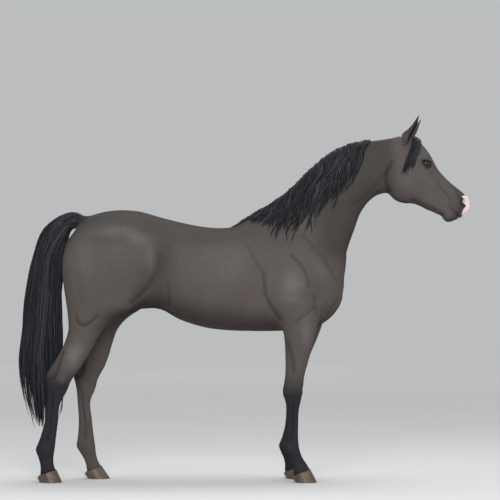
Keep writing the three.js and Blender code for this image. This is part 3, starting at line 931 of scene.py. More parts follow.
@dataclass(frozen=True)
class TuftFinish:
    """The coat's own tufts, in the colour that each carries."""

    name: str = "coat_tufts"
    roughness: float = 0.6

    def make(self) -> bpy.types.Material:
        """Makes the material.

        Returns:
            The material.
        """
        p = Paint(self.name)
        fine = p.noise(p.place(), 260.0, 2.0)
        colour = p.lit(p.stored("coat_colour"), fine.vary(0.9, 1.1))
        return p.feed(Base_Color=colour, Roughness=self.roughness, Specular_IOR_Level=0.0)


@dataclass(frozen=True)
class LockFinish:
    """Long black hair: a stored colour, and streaks that run along each lock."""

    name: str = "long_hair"
    roughness: float = 0.5

    def make(self) -> bpy.types.Material:
        """Makes the material.

        Returns:
            The material.
        """
        p = Paint(self.name)
        streaks = p.noise(p.stretched((420, 420, 26)), 1.0, 3.0)
        colour = p.lit(p.stored("coat_colour"), streaks.spread(0.3, 0.72, 0.7, 1.45))
        rough = streaks.vary(self.roughness - 0.06, self.roughness + 0.1)
        return p.feed(
            Base_Color=colour, Roughness=rough, Normal=p.bump(streaks, 0.4, 0.0012), Specular_IOR_Level=0.22,
        )


@dataclass(frozen=True)
class HornFinish:
    """Hoof horn: growth rings across, fine tubules down, paler towards the middle of the wall."""

    name: str = "hoof_horn"
    dark: Colour = (66, 54, 46)
    pale: Colour = (100, 84, 71)
    rim: Colour = (58, 48, 43)

    def make(self) -> bpy.types.Material:
        """Makes the material.

        Returns:
            The material.
        """
        p = Paint(self.name)
        rings = p.noise(p.stretched((3, 3, 190)), 1.0, 3.0)
        tubes = p.noise(p.stretched((420, 420, 14)), 1.0, 3.0)
        stain = p.noise(p.place(), 26.0, 4.0)
        share = (rings * 0.2 + tubes * 0.15 + stain * 0.65).spread(0.3, 0.72)
        edge = p.stored("edge_share", "Fac")
        colour = p.mix(edge * 0.6, p.between(share, self.dark, self.pale), tuple(linear(*self.rim)))
        height = rings * 0.75 + tubes * 0.25
        rough = stain.vary(0.38, 0.55)
        return p.feed(
            Base_Color=colour, Roughness=rough, Normal=p.bump(height, 0.35, 0.0012), Specular_IOR_Level=0.4,
        )


@dataclass(frozen=True)
class EyeFinish:
    """A dark brown eye with a long level pupil, wet all over."""

    name: str = "wet_eye"
    iris_dark: Colour = (18, 11, 9)
    iris_pale: Colour = (36, 22, 16)
    white: Colour = (38, 31, 30)
    pupil: Colour = (6, 6, 9)

    def make(self) -> bpy.types.Material:
        """Makes the material.

        Returns:
            The material.
        """
        p = Paint(self.name)
        fibres = p.noise(p.place(), 520.0, 3.0)
        brown = p.between(fibres.vary(), self.iris_dark, self.iris_pale)
        ring = p.mix(p.stored("iris_share", "Fac"), tuple(linear(*self.white)), brown)
        colour = p.mix(p.stored("pupil_share", "Fac"), ring, tuple(linear(*self.pupil)))
        return p.feed(
            Base_Color=colour, Roughness=0.2, Specular_IOR_Level=0.15,
            Coat_Weight=0.6, Coat_Roughness=0.03, Coat_IOR=1.38,
        )


@dataclass(frozen=True)
class WetRimFinish:
    """Dark bare skin at the lids' edges."""

    name: str = "lid_edge"
    dark: Colour = (22, 19, 19)
    pale: Colour = (38, 33, 33)

    def make(self) -> bpy.types.Material:
        """Makes the material.

        Returns:
            The material.
        """
        p = Paint(self.name)
        grain = p.noise(p.place(), 700.0, 3.0)
        colour = p.between(grain.vary(), self.dark, self.pale)
        return p.feed(Base_Color=colour, Roughness=0.3, Normal=p.bump(grain, 0.3, 0.0004), Coat_Weight=0.3)


@dataclass(frozen=True)
class PaleFinish:
    """The studio's floor: a plain grey that grows paler away from the animal."""

    name: str = "pale_floor"
    tone: float = 0.6
    far: float = 0.95

    def make(self) -> bpy.types.Material:
        """Makes the material.

        Returns:
            The material.
        """
        p = Paint(self.name)
        away = p.node("ShaderNodeVectorMath", {"operation": "LENGTH"}, [p.place()], "Value")
        cloud = p.noise(p.place(), 0.6, 2.0).spread(0.2, 0.8, -0.01, 0.01)
        grey = cloud + away.spread(3.0, 13.0, self.tone, self.far)
        colour = p.node("ShaderNodeCombineColor", None, [grey, grey, grey])
        return p.feed(Base_Color=colour, Roughness=0.9, Specular_IOR_Level=0.1)


# --------------------------------------------------------------------------- the coat's colours and painted light

# Painted highlights on the coat: a middle, a half length and half height, a turn in degrees, and how strong.
PAINTED_HIGHLIGHTS: tuple[tuple[float, ...], ...] = (
    (-735, 1392, 95, 32, 4, 0.2), (-588, 1358, 75, 34, -32, 0.2), (-515, 1255, 32, 80, 4, 0.2),
    (-880, 1235, 60, 130, 0, 0.15), (-80, 1215, 110, 90, 0, 0.11), (262, 1095, 55, 80, 0, 0.3),
    (335, 830, 26, 85, 4, 0.26), (420, 1170, 34, 90, 28, 0.12), (-935, 715, 40, 75, -22, 0.36),
    (-1004, 582, 22, 22, 0, 0.16), (1005, 1680, 48, 12, -44, 0.14), (900, 1655, 60, 55, 0, 0.06),
)


@dataclass
class Markings:
    """Where the coat is which colour, with painted shade and highlights. Skin, tufts and roots all read it.
    """

    form: Form
    body: Colour = (79, 74, 71)
    # over: painted shade, for the topline, the upper neck and the flank's fold.
    over: Colour = (54, 51, 49)
    ear: Colour = (52, 49, 48)
    warm: Colour = (80, 73, 70)
    # under: painted shade, for the parts that face down and the underside of the throat.
    under: Colour = (52, 45, 44)
    cannon: Colour = (41, 41, 45)
    smoke: Colour = (82, 77, 73)
    muzzle: Colour = (56, 51, 51)
    snip: Colour = (226, 205, 200)
    # shine: a painted highlight, laid in soft patches on the sides.
    shine: Colour = (122, 119, 116)
    naked: Colour = (44, 40, 40)

    def colours(self, co: Array, normal: Array) -> Array:
        """The coat's colour, with its painted shade and painted highlights.

        Args:
            co: Points of the row frame, on the skin.
            normal: The way out of the skin at each.

        Returns:
            A linear colour for each point.
        """
        p = self.form.drawn(co)
        x, y, z = p.T
        # Painted shade: the topline where the skin faces up, and the flank's fold.
        top = ease(normal[:, 2], 0.2, 0.85) * ease(z, 1250, 1350)
        flank_fold_shade = np.exp(-(((x + 475) / 90) ** 2) - ((z - 1190) / 190) ** 2)
        # Painted shade under the neck, at the throat.
        throat_shade = ease(np.abs(y), 95, 0) * ease(x, 480, 560) * ease(x, 860, 780) * ease(z, 1720, 1600)
        leg = self.lower_leg(p)
        out = np.tile(linear(*self.body), (len(p), 1))
        for tone, share in (
            (self.warm, 0.5 * ease(z, 1250, 1000) * ease(x, 700, 500)),
            # Painted shade under the body, where the skin faces down.
            (self.under, 0.75 * ease(-normal[:, 2], 0.15, 0.95) * ease(z, 640, 860)),
            # Painted shade on the topline, the upper neck and in the flank's fold.
            (self.over, 0.75 * top * ease(x, 830, 780)),
            (self.over, 0.75 * ease(x, 300, 480) * ease(x, 860, 780) * ease(z, 1160, 1330)),
            (self.over, 0.6 * flank_fold_shade),
            (self.ear, 0.8 * ease(z, 1914, 1945) * (x > 830)),
            # Painted shade under the throat.
            (self.under, 0.45 * throat_shade),
            (self.cannon, leg),
            (self.smoke, 0.8 * (leg * (y > 0) * (x < -400))),
            (self.muzzle, 0.8 * ease(x, 1120, 1215)),
            (self.cannon, 0.95 * self._dock(p)),
            (self.naked, 0.85 * self.bare(p)),
        ):
            out = self._toward(out, tone, share)
        facing = ease(np.abs(normal[:, 1]), 0.2, 0.6)
        # Painted shade along the creases of the dark strokes, on the parts that face the side.
        for s in STROKES:
            if s.dark:
                close = bell(to_line(p[:, [0, 2]], s.line) / s.width / 0.62)
                out *= (1 - 0.6 * s.dark * close * facing)[:, None]
        # Painted highlights in soft patches, on the parts that face the side.
        for middle_x, middle_z, long, high, turn, gain in PAINTED_HIGHLIGHTS:
            spread = spread_of(x - middle_x, z - middle_z, long, high, turn)
            out = self._toward(out, self.shine, gain * np.exp(-spread) * facing)
        # Painted shade in the legs' grooves and hollows.
        out *= (1 - 0.42 * np.clip(-Skin.leg_detail(p, normal) / 5, 0, 1))[:, None]
        out = self._toward(out, self.snip, self.snip_share(p))
        return out

    def _dock(self, p: Array) -> Array:
        """Where the tail's root is.

        Args:
            p: The points, in drawn millimetres.

        Returns:
            1 on the dock, fading out towards the croup.
        """
        share, (x, y, z) = np.zeros(len(p)), p.T
        near = np.flatnonzero((x < -820) & (z > 1340) & (np.abs(y) < 90))
        share[near] = ease(self.form.dock.distance(p[near]), 16, 3) * ease(x[near], -838, -880)
        return share

    @staticmethod
    def _toward(colours: Array, target: Sequence[float], share: Array) -> Array:
        """Colours moved a share of the way to another."""
        return colours + (linear(*target) - colours) * np.clip(share, 0, 1)[:, None]

    @staticmethod
    def lower_leg(p: Array) -> Array:
        """Where the legs are dark.

        Args:
            p: The points, in drawn millimetres.

        Returns:
            1 below the knees and hocks, fading out above them.
        """
        fore = ease(p[:, 2], 640, 470) * (p[:, 0] > -300)
        hind = (0.3 * ease(p[:, 2], 740, 620) + 0.7 * ease(p[:, 2], 650, 530)) * (p[:, 0] <= -300)
        return fore + hind

    def bare(self, p: Array) -> Array:
        """Where the skin is bare.

        Args:
            p: The points, in drawn millimetres.

        Returns:
            1 round the eyes, the nostrils and the lips, fading out away from them.
        """
        eye = ease(lid_share(self.form, p), 1.6, 1.12)
        nostril = np.sqrt((p[:, 0] - 1212) ** 2 + (np.abs(p[:, 1]) - 46) ** 2 + ((p[:, 2] - 1556) * 0.8) ** 2)
        lips = ease(p[:, 0], 1150, 1200) * ease(p[:, 2], 1530, 1480)
        return np.clip(eye + ease(nostril, 32, 17) + 0.8 * lips, 0, 1)

    @staticmethod
    def snip_share(p: Array) -> Array:
        """Where the white snip is, which runs from the front of the right nostril over the upper lip.

        Args:
            p: The points, in drawn millimetres.

        Returns:
            1 on the snip, fading out at its edge.
        """
        wobble = 5 * np.sin(p[:, 2] / 9) + 4 * np.sin(p[:, 1] / 6 + 1)
        waist = 20 * np.exp(-(((p[:, 2] - 1533) / 13) ** 2))
        front = ease(p[:, 0] + wobble * 0.6 - waist, 1201, 1211)
        wide = ease(np.abs(p[:, 1] + 18) + wobble * 0.6, 42, 33)
        high = p[:, 2] + wobble * 0.6
        return front * wide * ease(high, 1472, 1486) * ease(high, 1597, 1586)


# --------------------------------------------------------------------------- the skin


@dataclass(frozen=True)
class Stroke:
    """A line worked into the skin of one view, raised or sunk, on both sides of the animal."""

    line: Line
    width: float
    rise: float
    # How much painted shade darkens the coat along the line.
    dark: float = 0.0


def strokes_of(*rows: tuple[Line, float, float]) -> tuple[Stroke, ...]:
    """The strokes of a table: a line, its width and its rise."""
    return tuple(Stroke(*row) for row in rows)


def to_line(q: Array, line: Sequence[Sequence[float]]) -> Array:
    """How far points lie from a line of several stretches.

    Args:
        q: The points, in the line's own two directions.
        line: The line's points, in order.

    Returns:
        The distances.
    """
    best = np.full(len(q), np.inf)
    points = np.array(line, float)
    for a, b in zip(points[:-1], points[1:]):
        ab = b - a
        t = np.clip((q - a) @ ab / (ab @ ab), 0, 1)
        best = np.minimum(best, np.linalg.norm(q - a - t[:, None] * ab, axis=1))
    return best


def work(total: Array, q: Array, strokes: Sequence[Stroke], facing: Array) -> None:
    """Adds the rise of strokes to a total.

    Args:
        total: The rise so far at each point, changed in place.
        q: The points, in the strokes' own two directions.
        strokes: The strokes.
        facing: How fully each point faces the strokes' view, from 0 to 1.
    """
    for s in strokes:
        total += s.rise * bell(to_line(q, s.line) / s.width) * facing


def beside(p: Array, place: Sequence[float]) -> Array:
    """How far drawn points lie from a place, or from the same place on the other side."""
    x, y, z = place
    return np.sqrt((p[:, 0] - x) ** 2 + (np.abs(p[:, 1]) - y) ** 2 + (p[:, 2] - z) ** 2)


# The body's lines in the side view: each a line, its width, its rise, and the painted shade along it.
STROKES: tuple[Stroke, ...] = (
    Stroke(((258, 1258), (300, 1216), (338, 1158), (352, 1088)), 15, -5, dark=0.65),
    Stroke(((325, 1370), (385, 1300), (444, 1227), (500, 1127)), 18, -4, dark=0.35),
    Stroke(((102, 1160), (106, 1110), (116, 1040), (150, 965), (196, 905)), 16, -7, dark=0.7),
    Stroke(((14, 1312), (38, 1270), (56, 1234), (92, 1180)), 15, -4, dark=0.45),
    Stroke(((284, 892), (318, 922), (345, 943), (380, 976)), 13, -5, dark=0.55),
    Stroke(((384, 1030), (388, 990), (390, 940)), 13, -4, dark=0.4),
    Stroke(((-471, 1262), (-485, 1180), (-526, 1085), (-618, 1000)), 18, -7, dark=0.6),
    Stroke(((-417, 1090), (-414, 1035), (-412, 980)), 11, -3.5, dark=0.45),
    Stroke(((-806, 924), (-834, 898), (-866, 876), (-896, 876), (-916, 896), (-926, 926)), 10, -6, dark=0.85),
    Stroke(((590, 1530), (650, 1585), (720, 1645), (790, 1725)), 14, -4, dark=0.35),
    Stroke(((640, 1560), (700, 1600), (748, 1612)), 11, -2.5, dark=0.3),
    Stroke(((812, 1772), (784, 1720), (778, 1670), (800, 1606)), 14, -6, dark=0.75),
    Stroke(((1074, 1640), (1110, 1602), (1143, 1566)), 6, -3.4, dark=0.7),
    Stroke(((-940, 1250), (-925, 1120), (-900, 1000)), 28, -5),
    Stroke(((-700, 1440), (-600, 1420)), 34, 4),
    Stroke(((507, 1015), (480, 970), (456, 932)), 14, -3, dark=0.3),
)


@dataclass
class Skin:
    """The one skin over all the flesh, from the muzzle to the coronets and the tail's root."""

    form: Form
    markings: Markings
    coat_depth: float = 1.6
    cell: float = 9.0
    faces_limit: int = 197000
    nostril: Place = (1211.0, 47.0, 1560.0)
    mouth: Line = (
        (1125, 1533), (1139, 1521), (1153, 1505), (1168, 1488), (1179, 1475), (1184, 1467),
    )
    seam: Place = (895, 0, 1895)
    seam_reach: float = 88.0
    seam_times: int = 26
    cast_low: Place = (-1190.0, -315.0, 20.0)
    cast_high: Place = (1290.0, 306.0, 1960.0)

    def build(self) -> bpy.types.Object:
        """Makes the skin.

        Returns:
            The finished skin.
        """
        obj = self._cast()
        self._draw_on(obj, 3)
        for region, times in ((self._head_and_legs, 2), (self._face, 1), (self._openings, 2)):
            self._refine(obj, region)
            self._draw_on(obj, times)
        self._even_out(obj)
        self._sculpt(obj)
        self._join_ears(obj)
        self._lighten(obj)
        self._finish(obj)
        return obj

    @staticmethod
    def _head(p: Array) -> Array:
        """Which drawn points are on the head."""
        return (p[:, 0] > 770) & (p[:, 2] > 1430)

    def _head_and_legs(self, p: Array) -> Array:
        """Which drawn points are on the head or on the legs from the hocks down."""
        return (p[:, 2] < 660) | self._head(p)

    def _face(self, p: Array) -> Array:
        """Which drawn points are on the muzzle or round the eyes."""
        return self._head(p) & ((p[:, 0] > 1085) | (self._near_eye(p) < 62))

    def _openings(self, p: Array) -> Array:
        """Which drawn points are close to the eyes, the nostrils or the mouth."""
        close = (self._near_eye(p) < 40) | (beside(p, self.nostril) < 40) | (self._near_mouth(p) < 9)
        return self._head(p) & close

    def _cast(self) -> bpy.types.Object:
        """Casts the rounded form as one closed mesh, with a vertex in each cell that the surface crosses.

        Returns:
            The mesh, of four-sided faces.
        """
        low, high, cell, block = np.array(self.cast_low), np.array(self.cast_high), self.cell, 4
        counts = np.ceil((high - low) / (cell * block)).astype(int)
        blocks = np.indices(counts).reshape(3, -1).T
        rough = self.form.distance(low + (blocks + 0.4) * cell * block).reshape(counts)
        d = rough.repeat(block, 0).repeat(block, 1).repeat(block, 2)
        close = np.abs(d) < cell * (block + 1)
        d[close] = self.form.distance(low + np.argwhere(close) * cell)
        points, quads = [], []
        for axis in range(3):
            size = d.shape[axis]
            near, far = np.take(d, range(size - 1), axis), np.take(d, range(1, size), axis)
            at = np.argwhere((near < 0) != (far < 0))
            a, b = near[tuple(at.T)], far[tuple(at.T)]
            point = at.astype(float)
            point[:, axis] += a / (a - b)
            one, two = np.eye(3, dtype=int)[[(axis + 1) % 3, (axis + 2) % 3]]
            ring = np.stack([at, at - one, at - one - two, at - two], axis=1)
            ring[a > 0] = ring[a > 0][:, ::-1]
            quads.append(np.ravel_multi_index(ring.reshape(-1, 3).T, d.shape))
            points.append(np.repeat(point, 4, axis=0))
        _, number = np.unique(np.concatenate(quads), return_inverse=True)
        where = np.concatenate(points)
        total = np.stack([np.bincount(number, where[:, k]) for k in range(3)], axis=1)
        co = total / np.bincount(number)[:, None]
        skin = new_object("skin", self.form.placed(low + co * cell), number.reshape(-1, 4))
        log.info("skin cast: %d faces", len(skin.data.polygons))
        return skin

    def _draw_on(self, obj: bpy.types.Object, times: int) -> None:
        """Draws the mesh onto the rounded form, less the coat's depth.

        Args:
            obj: The skin.
            times: How often to draw it on, evening it out between.
        """
        co = self.form.drawn(points_of(obj))
        for i in range(times):
            put_points(obj, self.form.placed(co))
            move = np.clip(self.form.distance(co) + self.coat_depth, -9, 9)
            co = co - normals_of(obj) * move[:, None]
            if i + 1 < times:
                co = relax(co, edges_of(obj), np.full(len(co), 0.35), 2)
        put_points(obj, self.form.placed(co))

    def _even_out(self, obj: bpy.types.Object) -> None:
        """Smooths the whole skin a little, and the muzzle, the poll, the breast and the thigh more.

        Args:
            obj: The skin.
        """
        co = self.form.drawn(points_of(obj))
        muzzle = 0.5 * ease(co[:, 0], 1196, 1222)
        poll = 0.5 * np.exp(-(((co[:, 0] - 856) / 24) ** 2)) * ease(co[:, 2], 1860, 1885)
        breast = 0.5 * ease(co[:, 0], 490, 520) * ease(co[:, 2], 1290, 1240) * ease(co[:, 2], 960, 1000)
        thigh = 0.5 * ease(np.abs(co[:, 2] - 1405), 60, 25) * ease(co[:, 0], -520, -580)
        co = relax(co, edges_of(obj), np.max([muzzle, poll, breast, thigh], axis=0), 16)
        co = relax(co, edges_of(obj), np.full(len(co), 0.3), 2)
        put_points(obj, self.form.placed(co))

    def _refine(self, obj: bpy.types.Object, where: Callable[[Array], Array]) -> None:
        """Splits the faces in a region into four.

        Args:
            obj: The skin.
            where: Which of some drawn points are in the region.
        """
        mesh = obj.data
        centres = np.empty(len(mesh.polygons) * 3, np.float32)
        mesh.polygons.foreach_get("center", centres)
        chosen = where(self.form.drawn(centres.reshape(-1, 3).astype(float)))
        choose(obj)
        mesh.vertices.foreach_set("select", np.zeros(len(mesh.vertices), bool))
        mesh.edges.foreach_set("select", np.zeros(len(mesh.edges), bool))
        mesh.polygons.foreach_set("select", chosen)
        bpy.context.tool_settings.mesh_select_mode = (False, False, True)
        bpy.ops.object.mode_set(mode="EDIT")
        bpy.ops.mesh.subdivide(number_cuts=1)
        bpy.ops.object.mode_set(mode="OBJECT")

    def _near_eye(self, p: Array) -> Array:
        """How far drawn points lie from the front of an eye."""
        x, y, z = self.form.eye
        return beside(p, (x + 6, y + 20, z))

    def _near_mouth(self, p: Array) -> Array:
        """How far drawn points lie from the line of the mouth in the side view."""
        return to_line(p[:, [0, 2]], self.mouth)

    def _sculpt(self, obj: bpy.types.Object) -> None:
        """Works the creases, tendons, veins, lids, nostrils and lips into the skin.

        Args:
            obj: The skin.
        """
        co, n = self.form.drawn(points_of(obj)), normals_of(obj)
        co = co + n * self._body_detail(co, n)[:, None]
        co = co + n * self.leg_detail(co, n)[:, None]
        co = co + n * self._face_detail(co, n)[:, None]
        for side in Side:
            co = self._open_nostril(co, side)
            co = self._set_lids(co, side)
        share = lid_share(self.form, co)
        co = relax(co, edges_of(obj), 0.5 * ease(share, 1.28, 1.45) * ease(share, 2.5, 2.1), 16)
        put_points(obj, self.form.placed(co))
        log.info("skin worked: %d faces", len(obj.data.polygons))

    def _body_detail(self, p: Array, n: Array) -> Array:
        """Rises and hollows of the body's strokes and ribs.

        Args:
            p: The points, in drawn millimetres.
            n: The way out of the skin at each.

        Returns:
            The rise at each.
        """
        total, (x, z) = np.zeros(len(p)), (p[:, 0], p[:, 2])
        flat = ease(np.abs(n[:, 1]), 0.15, 0.5)
        work(total, p[:, [0, 2]], STROKES, flat)
        ribs = np.sin((x + 0.18 * (1200 - z)) / 9.2)
        cage = ease(x, -330, -240) * ease(x, 60, -20) * ease(z, 900, 980) * ease(z, 1240, 1150)
        return total + 0.35 * ribs * cage * flat

    @staticmethod
    def leg_detail(p: Array, n: Array) -> Array:
        """Rises and hollows of the knees, hocks, fetlocks and tendons.

        Args:
            p: The points, in drawn millimetres.
            n: The way out of the skin at each.

        Returns:
            The rise at each, 0 away from the legs.
        """
        total = np.zeros(len(p))
        for name, stance in STANCES.items():
            side, hind = sign_of(name), name.startswith("hind")
            i = np.flatnonzero((p[:, 1] * side > 10) & (p[:, 2] < 900) & ((p[:, 0] < -300) == hind))
            x, z = p[i, 0] - stance.forward(p[i, 2]), p[i, 2]
            y = p[i, 1] * side - LEG_MIDDLE[name.split("_")[0]]
            got, aside, ahead = np.zeros(len(i)), np.stack([x, z], axis=1), np.stack([y, z], axis=1)
            work(got, aside, HIND_LINES if hind else FORE_LINES, ease(np.abs(n[i, 1]), 0.3, 0.8))
            work(got, ahead, HIND_FRONT if hind else FORE_FRONT, ease(n[i, 0], 0.2, 0.7))
            work(got, ahead, HIND_BACK if hind else FORE_BACK, ease(-n[i, 0], 0.2, 0.7))
            total[i] += got
        return total

    def _face_detail(self, p: Array, n: Array) -> Array:
        """Rises and hollows of the face: crests, veins, lips and chin.

        Args:
            p: The points, in drawn millimetres.
            n: The way out of the skin at each.

        Returns:
            The rise at each, 0 away from the head.
        """
        total = np.zeros(len(p))
        i = np.flatnonzero(p[:, 0] > 760)
        q, got = p[i], np.zeros(len(i))
        work(got, q[:, [0, 2]], FACE_LINES, ease(np.abs(n[i, 1]), 0.2, 0.6))
        mouth = self._near_mouth(q)
        front = 1 + 0.8 * ease(q[:, 0], 1150, 1180)
        got += -4.5 * front * bell(mouth / (3.0 * front)) + 1.6 * bell((mouth - 10) / 5)
        for x, z, width, rise in FACE_SPOTS:
            got += rise * np.exp(-((q[:, 0] - x) ** 2 + (q[:, 2] - z) ** 2) / width**2)
        total[i] = got
        return total

    def _open_nostril(self, co: Array, side: Side) -> Array:
        """Sinks a comma-shaped nostril with a rolled rim.

        Args:
            co: The skin's drawn points.
            side: Which side of the muzzle.

        Returns:
            The new points.
        """
        facing = Facing.on(side, self.nostril, (0.42, 0.9, 0.12), (0.62, 0.0, 0.78))
        d = co - facing.centre
        near = np.flatnonzero((np.linalg.norm(d, axis=1) < 60) & (d @ facing.out > -30))
        a, b, h = facing.measured(d[near])
        bend = b + 0.016 * a * a - 2
        rho = np.sqrt((a / 22) ** 2 + (bend / 11.5) ** 2)
        pit = -24 * np.clip(1 - rho**2, 0, 1) ** 0.6
        rim = 3.4 * bell((rho - 1.28) / 0.26) * (0.65 + 0.35 * np.tanh(b / 6))
        rim = rim - 2.4 * bell((rho - 1.9) / 0.3) * ease(-a * 0.4 + b, -4, 8)
        fade = ease(h, -22, -8)
        co = co.copy()
        co[near] += facing.out * ((pit + rim) * fade)[:, None]
        return co

    def _set_lids(self, co: Array, side: Side) -> Array:
        """Draws the skin round the eyeball into two lids with a clean edge.

        Args:
            co: The skin's drawn points.
            side: Which eye.

        Returns:
            The new points.
        """
        facing = eye_facing(self.form, side)
        ball = self.form.eye_radius
        d = co - facing.centre
        near = np.flatnonzero((np.linalg.norm(d, axis=1) < 76) & (d @ facing.out > -2))
        a, b, h = facing.measured(d[near])
        length = np.linalg.norm(d[near], axis=1)
        angle = np.arctan2(b, a)
        flat = np.hypot(a, b)
        edge = lid_edge(angle)
        rho = flat / edge
        snap = rho.copy()
        snap[(rho >= 1.0) & (rho < 1.075)] = 1.0
        snap[(rho < 1.0) & (rho > 0.925)] = 0.985
        flat = snap * edge
        upper = ease(np.sin(angle), -0.1, 0.5)
        hug = ease(rho, 1.7, 1.06)
        fold = 1.7 * bell((rho - 1.26) / 0.12)
        fold = fold - 2.0 * bell((rho - 1.55) / 0.11) * (0.3 + 0.7 * upper)
        target = ball + 2.4 + 0.9 * upper + fold
        radius = np.where(rho >= 1.0, length + (target - length) * hug, ball - 5.0)
        radius = np.where((rho >= 1.0) & (flat < ball), np.maximum(radius, ball + 1.3), radius)
        flat = np.minimum(flat, np.where(rho < 1.7, radius * 0.9999, flat))
        height = np.sqrt(np.maximum(radius**2 - flat**2, 1.0))
        keep = (rho > 1.7) | (h < 2)
        co = co.copy()
        co[near] = np.where(keep[:, None], co[near], facing.centre + facing.offset(flat, angle, height))
        return co

    def _join_ears(self, obj: bpy.types.Object) -> None:
        """Grows both ears out of the skin, and evens out the seam.

        Args:
            obj: The skin.
        """
        for side in Side:
            ear = Ear(self.form, side).build()
            apply_modifier(obj, "BOOLEAN", object=ear, operation="UNION", solver="MANIFOLD")
            bpy.data.objects.remove(ear)
        co = points_of(obj)
        p = self.form.drawn(co)
        weight = np.zeros(len(p))
        near = np.flatnonzero(np.linalg.norm((p - self.seam) * (1, 0.6, 1), axis=1) < self.seam_reach)
        weight[near] = 0.5 * ease(np.abs(self.form.distance(p[near])), 22, 6)
        put_points(obj, relax(co, edges_of(obj), weight, self.seam_times))
        log.info("ears joined: %d faces", len(obj.data.polygons))

    def _lighten(self, obj: bpy.types.Object) -> None:
        """Thins the mesh where it is plain, and keeps the head finer.

        Args:
            obj: The skin.
        """
        faces = sum(len(p.vertices) - 2 for p in obj.data.polygons)
        p = self.form.drawn(points_of(obj))
        keep = 0.5 + ease(p[:, 0], 760, 860) * 0.4
        fine = np.minimum(self._near_eye(p), beside(p, self.nostril))
        keep = np.clip(np.maximum(keep, ease(fine, 60, 40)), 0, 1)
        group = obj.vertex_groups.new(name="plain")
        for step in range(11):
            chosen = np.flatnonzero(np.round((1 - keep) * 10) == step)
            if len(chosen) and step:
                group.add(chosen.tolist(), step / 10, "REPLACE")
        ratio = min(1.0, self.faces_limit / faces)
        if ratio < 1:
            apply_modifier(
                obj, "DECIMATE", ratio=ratio, vertex_group="plain", vertex_group_factor=3.0,
                use_collapse_triangulate=True,
            )
        obj.vertex_groups.clear()
        log.info("skin thinned from %d to %d faces", faces, len(obj.data.polygons))

    def _finish(self, obj: bpy.types.Object) -> None:
        """Colours the skin, unwraps it and rides it on the body.

        Args:
            obj: The skin.
        """
        co, n = points_of(obj), normals_of(obj)
        p = self.form.drawn(co)
        colour = self.markings.colours(co, n)
        # Painted shade in the face's hollows and creases.
        colour *= (1 - 0.3 * np.clip(-self._face_detail(p, n) / 6, 0, 1))[:, None]
        # Painted shade deep in the nostrils.
        pit = ease(beside(p, self.nostril) + 4 * (np.abs(p[:, 1]) - 40) * -0.3, 20, 10)
        colour *= (1 - 0.5 * pit * (np.abs(p[:, 1]) < 44))[:, None]
        set_colours(obj, "coat_colour", colour)
        set_values(obj, "leg_share", ease(p[:, 2], 1000, 880))
        set_values(obj, "bare_share", self.markings.bare(p))
        shade(obj)
        unwrap(obj)
        dress(obj, CoatFinish().make())
        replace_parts(obj, *FLESH)
        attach(obj, "root")


HIND_LINES = strokes_of(
    (((-1000, 730), (-1015, 690), (-1032, 642), (-1040, 608), (-1058, 588), (-1092, 569)), 8, -5.5),
    (((-990, 700), (-1010, 650), (-1018, 616), (-1034, 588), (-1060, 566)), 7, 3.0),
    (((-1075, 560), (-1040, 540), (-1000, 560)), 18, 3.0),
    (((-990, 545), (-1005, 575), (-990, 600)), 14, 2.5),
    (((-1062, 500), (-1068, 400), (-1078, 300), (-1098, 235)), 6, -4.4),
    (((-1085, 480), (-1092, 380), (-1112, 280)), 6, 1.5),
    (((-1120, 195), (-1090, 190)), 18, 3.0),
    (((-1085, 150), (-1095, 130)), 12, -1.5),
)
FORE_LINES = strokes_of(
    (((235, 790), (262, 700), (272, 620)), 13, -4.0),
    (((300, 830), (318, 740), (310, 640)), 22, 3.0),
    (((232, 520), (262, 530), (300, 520)), 22, 3.0),
    (((240, 560), (300, 560)), 7, -1.5),
    (((240, 478), (300, 474)), 8, -2.0),
    (((266, 440), (268, 360), (264, 280), (252, 230)), 6, -4.2),
    (((244, 430), (247, 340), (236, 250)), 6, 1.4),
    (((240, 195), (270, 192)), 18, 3.0),
    (((262, 150), (285, 140)), 12, -1.5),
)
HIND_FRONT = strokes_of((((0, 560), (0, 600)), 18, -2.0), (((12, 640), (16, 720)), 12, 2.0))
FORE_FRONT = strokes_of(
    (((-16, 545), (16, 545)), 12, 2.0), (((-14, 500), (14, 500)), 11, 2.4), (((0, 575), (0, 620)), 10, -2.0),
)
HIND_BACK = strokes_of(
    (((0, 606), (0, 570)), 15, 4.0), (((0, 480), (0, 260)), 6, -1.2),
    (((-15, 195), (-15, 185)), 13, 3.0), (((15, 195), (15, 185)), 13, 3.0),
)
FORE_BACK = strokes_of(
    (((0, 430), (0, 240)), 6, -1.2), (((-14, 197), (-14, 187)), 13, 3.0), (((14, 197), (14, 187)), 13, 3.0),
)
FACE_LINES = strokes_of(
    (((975, 1716), (1010, 1680), (1050, 1638), (1078, 1606)), 12, 2.4),
    (((990, 1672), (1040, 1628), (1075, 1590)), 16, -1.0),
    (((972, 1812), (994, 1820), (1016, 1812)), 13, 3.0),
    (((1052, 1742), (1092, 1700), (1135, 1655), (1180, 1612)), 10, -2.4),
    (((968, 1826), (950, 1850), (938, 1862)), 15, -4.5),
    (((1010, 1800), (985, 1812), (955, 1800), (915, 1815)), 8, 3.0),
    (((1003, 1735), (1040, 1715)), 8, -2.0),
    (((1070, 1660), (1090, 1620), (1110, 1580), (1090, 1545)), 3.0, 1.3),
    (((1090, 1620), (1130, 1590), (1165, 1575)), 2.6, 1.1),
    (((905, 1570), (945, 1556), (1000, 1530), (1060, 1508)), 9, -3.0),
    (((1128, 1560), (1150, 1540), (1170, 1520)), 7, -1.8),
    (((1145, 1575), (1168, 1560), (1182, 1535)), 8, 1.6),
    (((1172, 1602), (1186, 1590), (1192, 1570)), 6, -2.2),
)
# Round rises and hollows of the chin and the cheek: a middle, a width and a rise.
FACE_SPOTS = ((1088, 1478, 17, -9.0), (1130, 1452, 20, 3.5), (905, 1566, 16, 3.0), (938, 1560, 10, -3.5))


